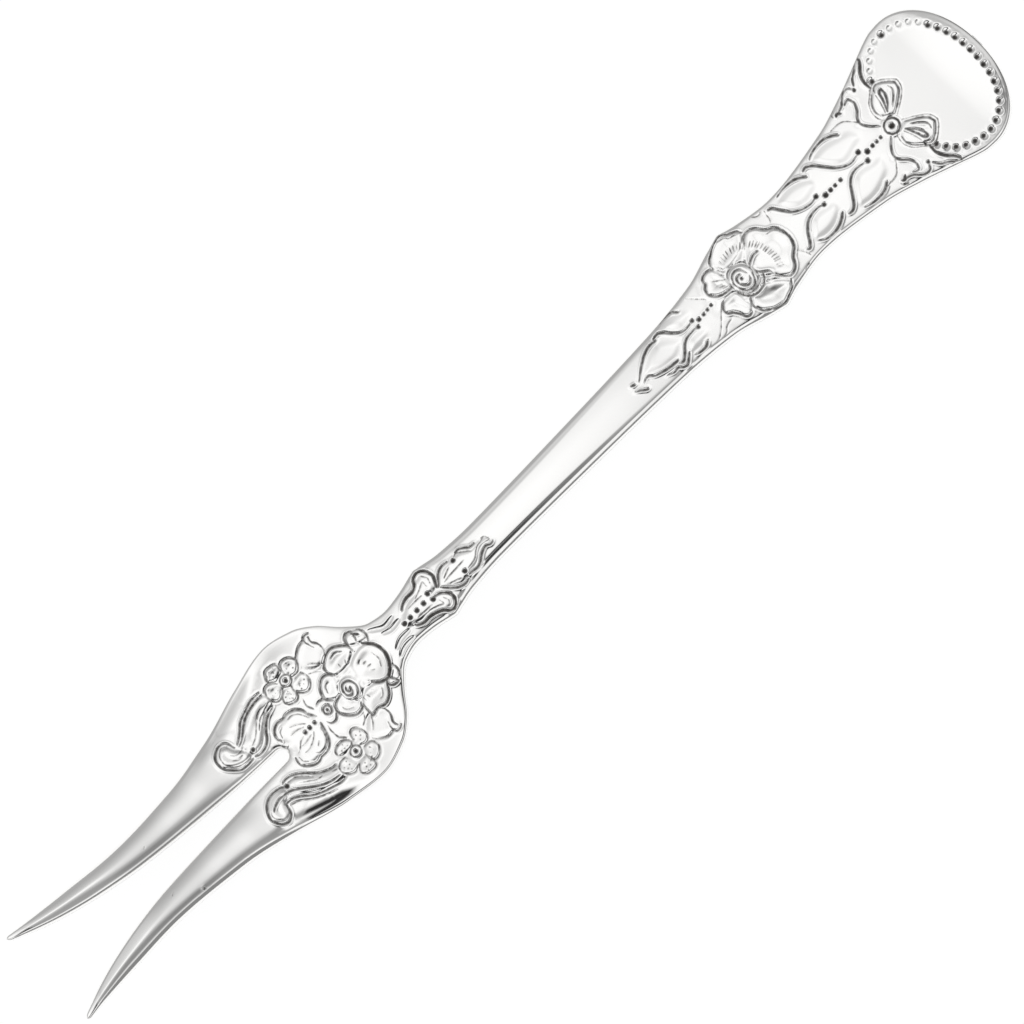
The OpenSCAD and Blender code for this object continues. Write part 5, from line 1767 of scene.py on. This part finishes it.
@dataclass(frozen=True)
class Studio:
    """Plain pale floor, soft light, the tent that the metal reflects and the camera.

    The scrim's tones are pairs of an angle off the vertical, in degrees, and a brightness. X runs along
    the fork and Y across it.
    """

    floor_size: float = 6.0
    floor_drop: float = 0.00002
    floor_colour: tuple[float, float, float] = (0.93, 0.93, 0.93)
    floor_glow: float = 0.9
    floor_light: float = 1.02
    scrim_height: float = 0.6
    scrim_reach: tuple[float, float] = (1.6, 0.9)
    left_tone: float = 0.24
    right_tone: float = 0.42
    near_tone: float = 0.12
    far_tone: float = 0.25
    tones_across: tuple[Point, ...] = (
        (-58, 0.56), (-45, 0.6), (-34, 0.68), (-24, 0.8), (-14, 1.0), (-9, 1.07), (-3, 1.03), (3, 0.9),
        (8, 0.78), (35, 0.78), (40, 1.0), (54, 1.0), (56, 0.5))
    tones_along: tuple[Point, ...] = (
        (-68, 0.3), (-55, 0.58), (-45, 0.66), (-32, 0.72), (-28, 0.79), (-25, 0.94), (-21, 1.0),
        (-12.5, 0.97), (-10.6, 0.8), (-9.6, 0.85), (-8.7, 0.97), (-7.0, 1.0), (60, 1.0), (68, 0.6))
    gap_across: tuple[Point, ...] = (
        (-10, 0.0), (3, 0.0), (10, 0.5), (17, 1.0), (28, 1.0), (36, 0.0), (60, 0.0))
    gap_along: tuple[Point, ...] = (
        (-60, 0.55), (-20, 0.58), (-9, 0.5), (-7.2, 0.65), (-5.2, 0.97), (60, 0.97))
    softbox_size: float = 0.5
    softbox_power: float = 1.2
    softbox_height: float = 1.0
    softbox_back: float = 0.12
    camera_tilt: float = 8.07
    image_angle: float = 134.17
    mm_per_pixel: float = 0.15548
    pixels: int = 1024
    lens: float = 700.0
    sensor: float = 36.0
    target_mm: tuple[float, float, float] = (0.58, -0.98, 0.0)

    def build(self) -> None:
        """Makes the floor, the lights, the tent and the camera."""
        self.floor()
        self.world()
        self.tent()
        self.softbox()
        self.camera()

    def flat(self, name: str, place: tuple[float, float, float], size: tuple[float, float],
             turned: tuple[float, float, float] = (0, 0, 0)) -> bpy.types.Object:
        """Makes one flat sheet.

        Args:
            name: its name.
            place: its middle, in metres.
            size: its width and depth.
            turned: its rotation.

        Returns:
            The sheet.
        """
        bm = bmesh.new()
        bmesh.ops.create_grid(bm, x_segments=1, y_segments=1, size=0.5)
        bmesh.ops.scale(bm, vec=(*size, 1), verts=bm.verts)
        mesh = bpy.data.meshes.new(name)
        bm.to_mesh(mesh)
        bm.free()
        sheet = bpy.data.objects.new(name, mesh)
        sheet.location = place
        sheet.rotation_euler = turned
        bpy.context.scene.collection.objects.link(sheet)
        return sheet

    def floor(self) -> None:
        """Lays the floor under the fork, lit evenly and still taking its shadow."""
        plane = self.flat("floor", (0, 0, -self.floor_drop), (self.floor_size, self.floor_size))
        made = bare_material("floor_paper")
        tree = made.node_tree
        ray = add_node(tree, "ShaderNodeLightPath").outputs
        seen = combined(tree, "MAXIMUM", ray["Is Camera Ray"], ray["Is Glossy Ray"])
        seen = combined(tree, "MAXIMUM", seen, ray["Is Transmission Ray"])
        paper = add_node(tree, "ShaderNodeBsdfDiffuse", {"Color": (*self.floor_colour, 1)})
        glow = add_node(tree, "ShaderNodeEmission", {"Strength": self.floor_light})
        both = add_node(tree, "ShaderNodeMixShader", {
            "Fac": combined(tree, "MULTIPLY", seen, self.floor_glow), 1: paper.outputs["BSDF"],
            2: glow.outputs["Emission"]})
        add_node(tree, "ShaderNodeOutputMaterial", {"Surface": both.outputs["Shader"]})
        plane.data.materials.append(made)

    def world(self) -> None:
        """Surrounds the scene with plain white light."""
        world = bpy.data.worlds.new("white_tent")
        world.use_nodes = True
        world.node_tree.nodes["Background"].inputs["Color"].default_value = (1, 1, 1, 1)
        world.node_tree.nodes["Background"].inputs["Strength"].default_value = 1.0
        bpy.context.scene.world = world

    def tent(self) -> None:
        """Hangs the tent: a printed scrim overhead and darker cloths below it."""
        reach_x, reach_y = self.scrim_reach
        self.cloth("scrim", (0, 0, self.scrim_height), (2 * reach_x, 2 * reach_y), (0, 0, 0),
                   self.printed_scrim())
        turn, half = math.pi / 2, self.scrim_height / 2
        side, end = (2 * reach_x, self.scrim_height), (self.scrim_height, 2 * reach_y)
        for name, tone, place, size, turned in (
                ("left_cloth", self.left_tone, (0, reach_y, half), side, (turn, 0, 0)),
                ("right_cloth", self.right_tone, (0, -reach_y, half), side, (turn, 0, 0)),
                ("near_cloth", self.near_tone, (-reach_x, 0, half), end, (0, turn, 0)),
                ("far_cloth", self.far_tone, (reach_x, 0, half), end, (0, turn, 0))):
            self.cloth(name, place, size, turned, self.glowing(name, (tone, tone, tone, 1))[0])

    def cloth(self, name: str, place: tuple[float, float, float], size: tuple[float, float],
              turned: tuple[float, float, float], material: bpy.types.Material) -> None:
        """Hangs one cloth that only reflections see.

        Args:
            name: its name.
            place: its middle, in metres.
            size: its width and depth.
            turned: its rotation.
            material: what it shows.
        """
        sheet = self.flat(name, place, size, turned)
        sheet.visible_camera = False
        sheet.visible_diffuse = False
        sheet.visible_shadow = False
        sheet.data.materials.append(material)

    def glowing(self, name: str, colour: tuple[float, float, float, float]) -> tuple[
            bpy.types.Material, bpy.types.Node]:
        """Makes a material that only glows.

        Args:
            name: its name.
            colour: the colour of its glow.

        Returns:
            The material and its emission node.
        """
        made = bare_material(name)
        glow = add_node(made.node_tree, "ShaderNodeEmission", {"Color": colour})
        add_node(made.node_tree, "ShaderNodeOutputMaterial", {"Surface": glow.outputs["Emission"]})
        return made, glow

    def tones(self, tree: bpy.types.NodeTree, axis: str, stops: tuple[Point, ...]) -> bpy.types.NodeSocket:
        """Tones printed on the scrim, set by the angle at which the fork sees them.

        Args:
            tree: the scrim's nodes.
            axis: X for tones along the fork, Y for tones across it.
            stops: pairs of angle off the vertical, in degrees, and brightness.

        Returns:
            The socket that gives the tone.
        """
        place = add_node(tree, "ShaderNodeTexCoord").outputs["Object"]
        split = add_node(tree, "ShaderNodeSeparateXYZ", {"Vector": place})
        places = [self.scrim_height * math.tan(math.radians(angle)) for angle, _ in stops]
        first, last = places[0], places[-1]
        share = add_node(tree, "ShaderNodeMapRange", {
            "Value": split.outputs[axis], "From Min": first, "From Max": last})
        shares = tuple(((at - first) / (last - first), tone) for at, (_, tone) in zip(places, stops))
        return tone_ramp(tree, share.outputs["Result"], shares)

    def printed_scrim(self) -> bpy.types.Material:
        """White over the fork, with a dark gap beside it that fades towards the tines.

        Returns:
            The scrim's material.
        """
        made, glow = self.glowing("printed_scrim", (1, 1, 1, 1))
        tree = made.node_tree
        white = combined(tree, "MULTIPLY", self.tones(tree, "Y", self.tones_across),
                         self.tones(tree, "X", self.tones_along))
        gap = combined(tree, "MULTIPLY", self.tones(tree, "Y", self.gap_across),
                       self.tones(tree, "X", self.gap_along))
        kept = combined(tree, "SUBTRACT", 1.0, gap)
        tree.links.new(combined(tree, "MULTIPLY", white, kept), glow.inputs["Strength"])
        return made

    def softbox(self) -> None:
        """Adds the overhead softbox that gives the soft shadow."""
        light = bpy.data.lights.new("softbox", "AREA")
        light.shape = "DISK"
        light.size = self.softbox_size
        light.energy = self.softbox_power
        lamp = bpy.data.objects.new("softbox", light)
        lamp.location = (0.0, -self.softbox_back, self.softbox_height)
        lamp.rotation_euler = (-math.atan2(self.softbox_back, self.softbox_height), 0, 0)
        lamp.visible_glossy = False
        bpy.context.scene.collection.objects.link(lamp)

    def camera(self) -> None:
        """Aims the camera as the photograph was taken: from above, rolled a little about the fork."""
        tilt, angle = math.radians(self.camera_tilt), math.radians(self.image_angle)
        along = Vector((1, 0, 0))
        down_fork = Vector((0, -math.cos(tilt), math.sin(tilt)))
        back = Vector((0, math.sin(tilt), math.cos(tilt)))
        right = math.cos(angle) * along - math.sin(angle) * down_fork
        up = -(math.sin(angle) * along + math.cos(angle) * down_fork)
        lens = bpy.data.cameras.new("camera")
        lens.sensor_width = self.sensor
        lens.lens = self.lens
        field = self.mm_per_pixel * self.pixels * MM
        distance = field * self.lens / self.sensor
        lens.clip_start, lens.clip_end = 0.05, distance * 3
        camera = bpy.data.objects.new("camera", lens)
        target = Vector(self.target_mm) * MM
        turn = Matrix((right, up, back)).transposed().to_4x4()
        camera.matrix_world = Matrix.Translation(target + back * distance) @ turn
        bpy.context.scene.collection.objects.link(camera)
        bpy.context.scene.camera = camera


def main() -> None:
    """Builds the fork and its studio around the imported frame."""
    logging.basicConfig(level=logging.INFO, format="%(name)s %(message)s")
    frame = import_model()
    corner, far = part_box(NODE)
    blank = Blank(x_end=corner.x / MM, x_tip=far.x / MM)
    relief = Relief(blank.x_end - 1, blank.x_tip + 1, far.y / MM + 1)
    on_handle = (PearlBorder(), *HUSKS, Bow())
    on_bowl = (CollarLeaf(), BowlRose(), *BLOSSOMS, BellFlower(), *SCROLLS, Nicks())
    groups = ((on_handle, HANDLE_SHIFT), ((HandleRose(),), ROSE_SHIFT), (on_bowl, BOWL_SHIFT))
    for motifs, shift in groups:
        relief.origin = np.array(shift)
        for motif in motifs:
            motif.strike(relief)
    fork = ForkBody(blank, relief).build()
    fork.data.materials.append(SilverFinish().material())
    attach(fork, BODY)
    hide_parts(NODE)
    log.info("%s rides on %s of %d nodes", fork.name, BODY, len(frame["nodes"]))
    Studio().build()
    bpy.context.scene.view_settings.view_transform = "Standard"


if __name__ == "__main__":
    main()
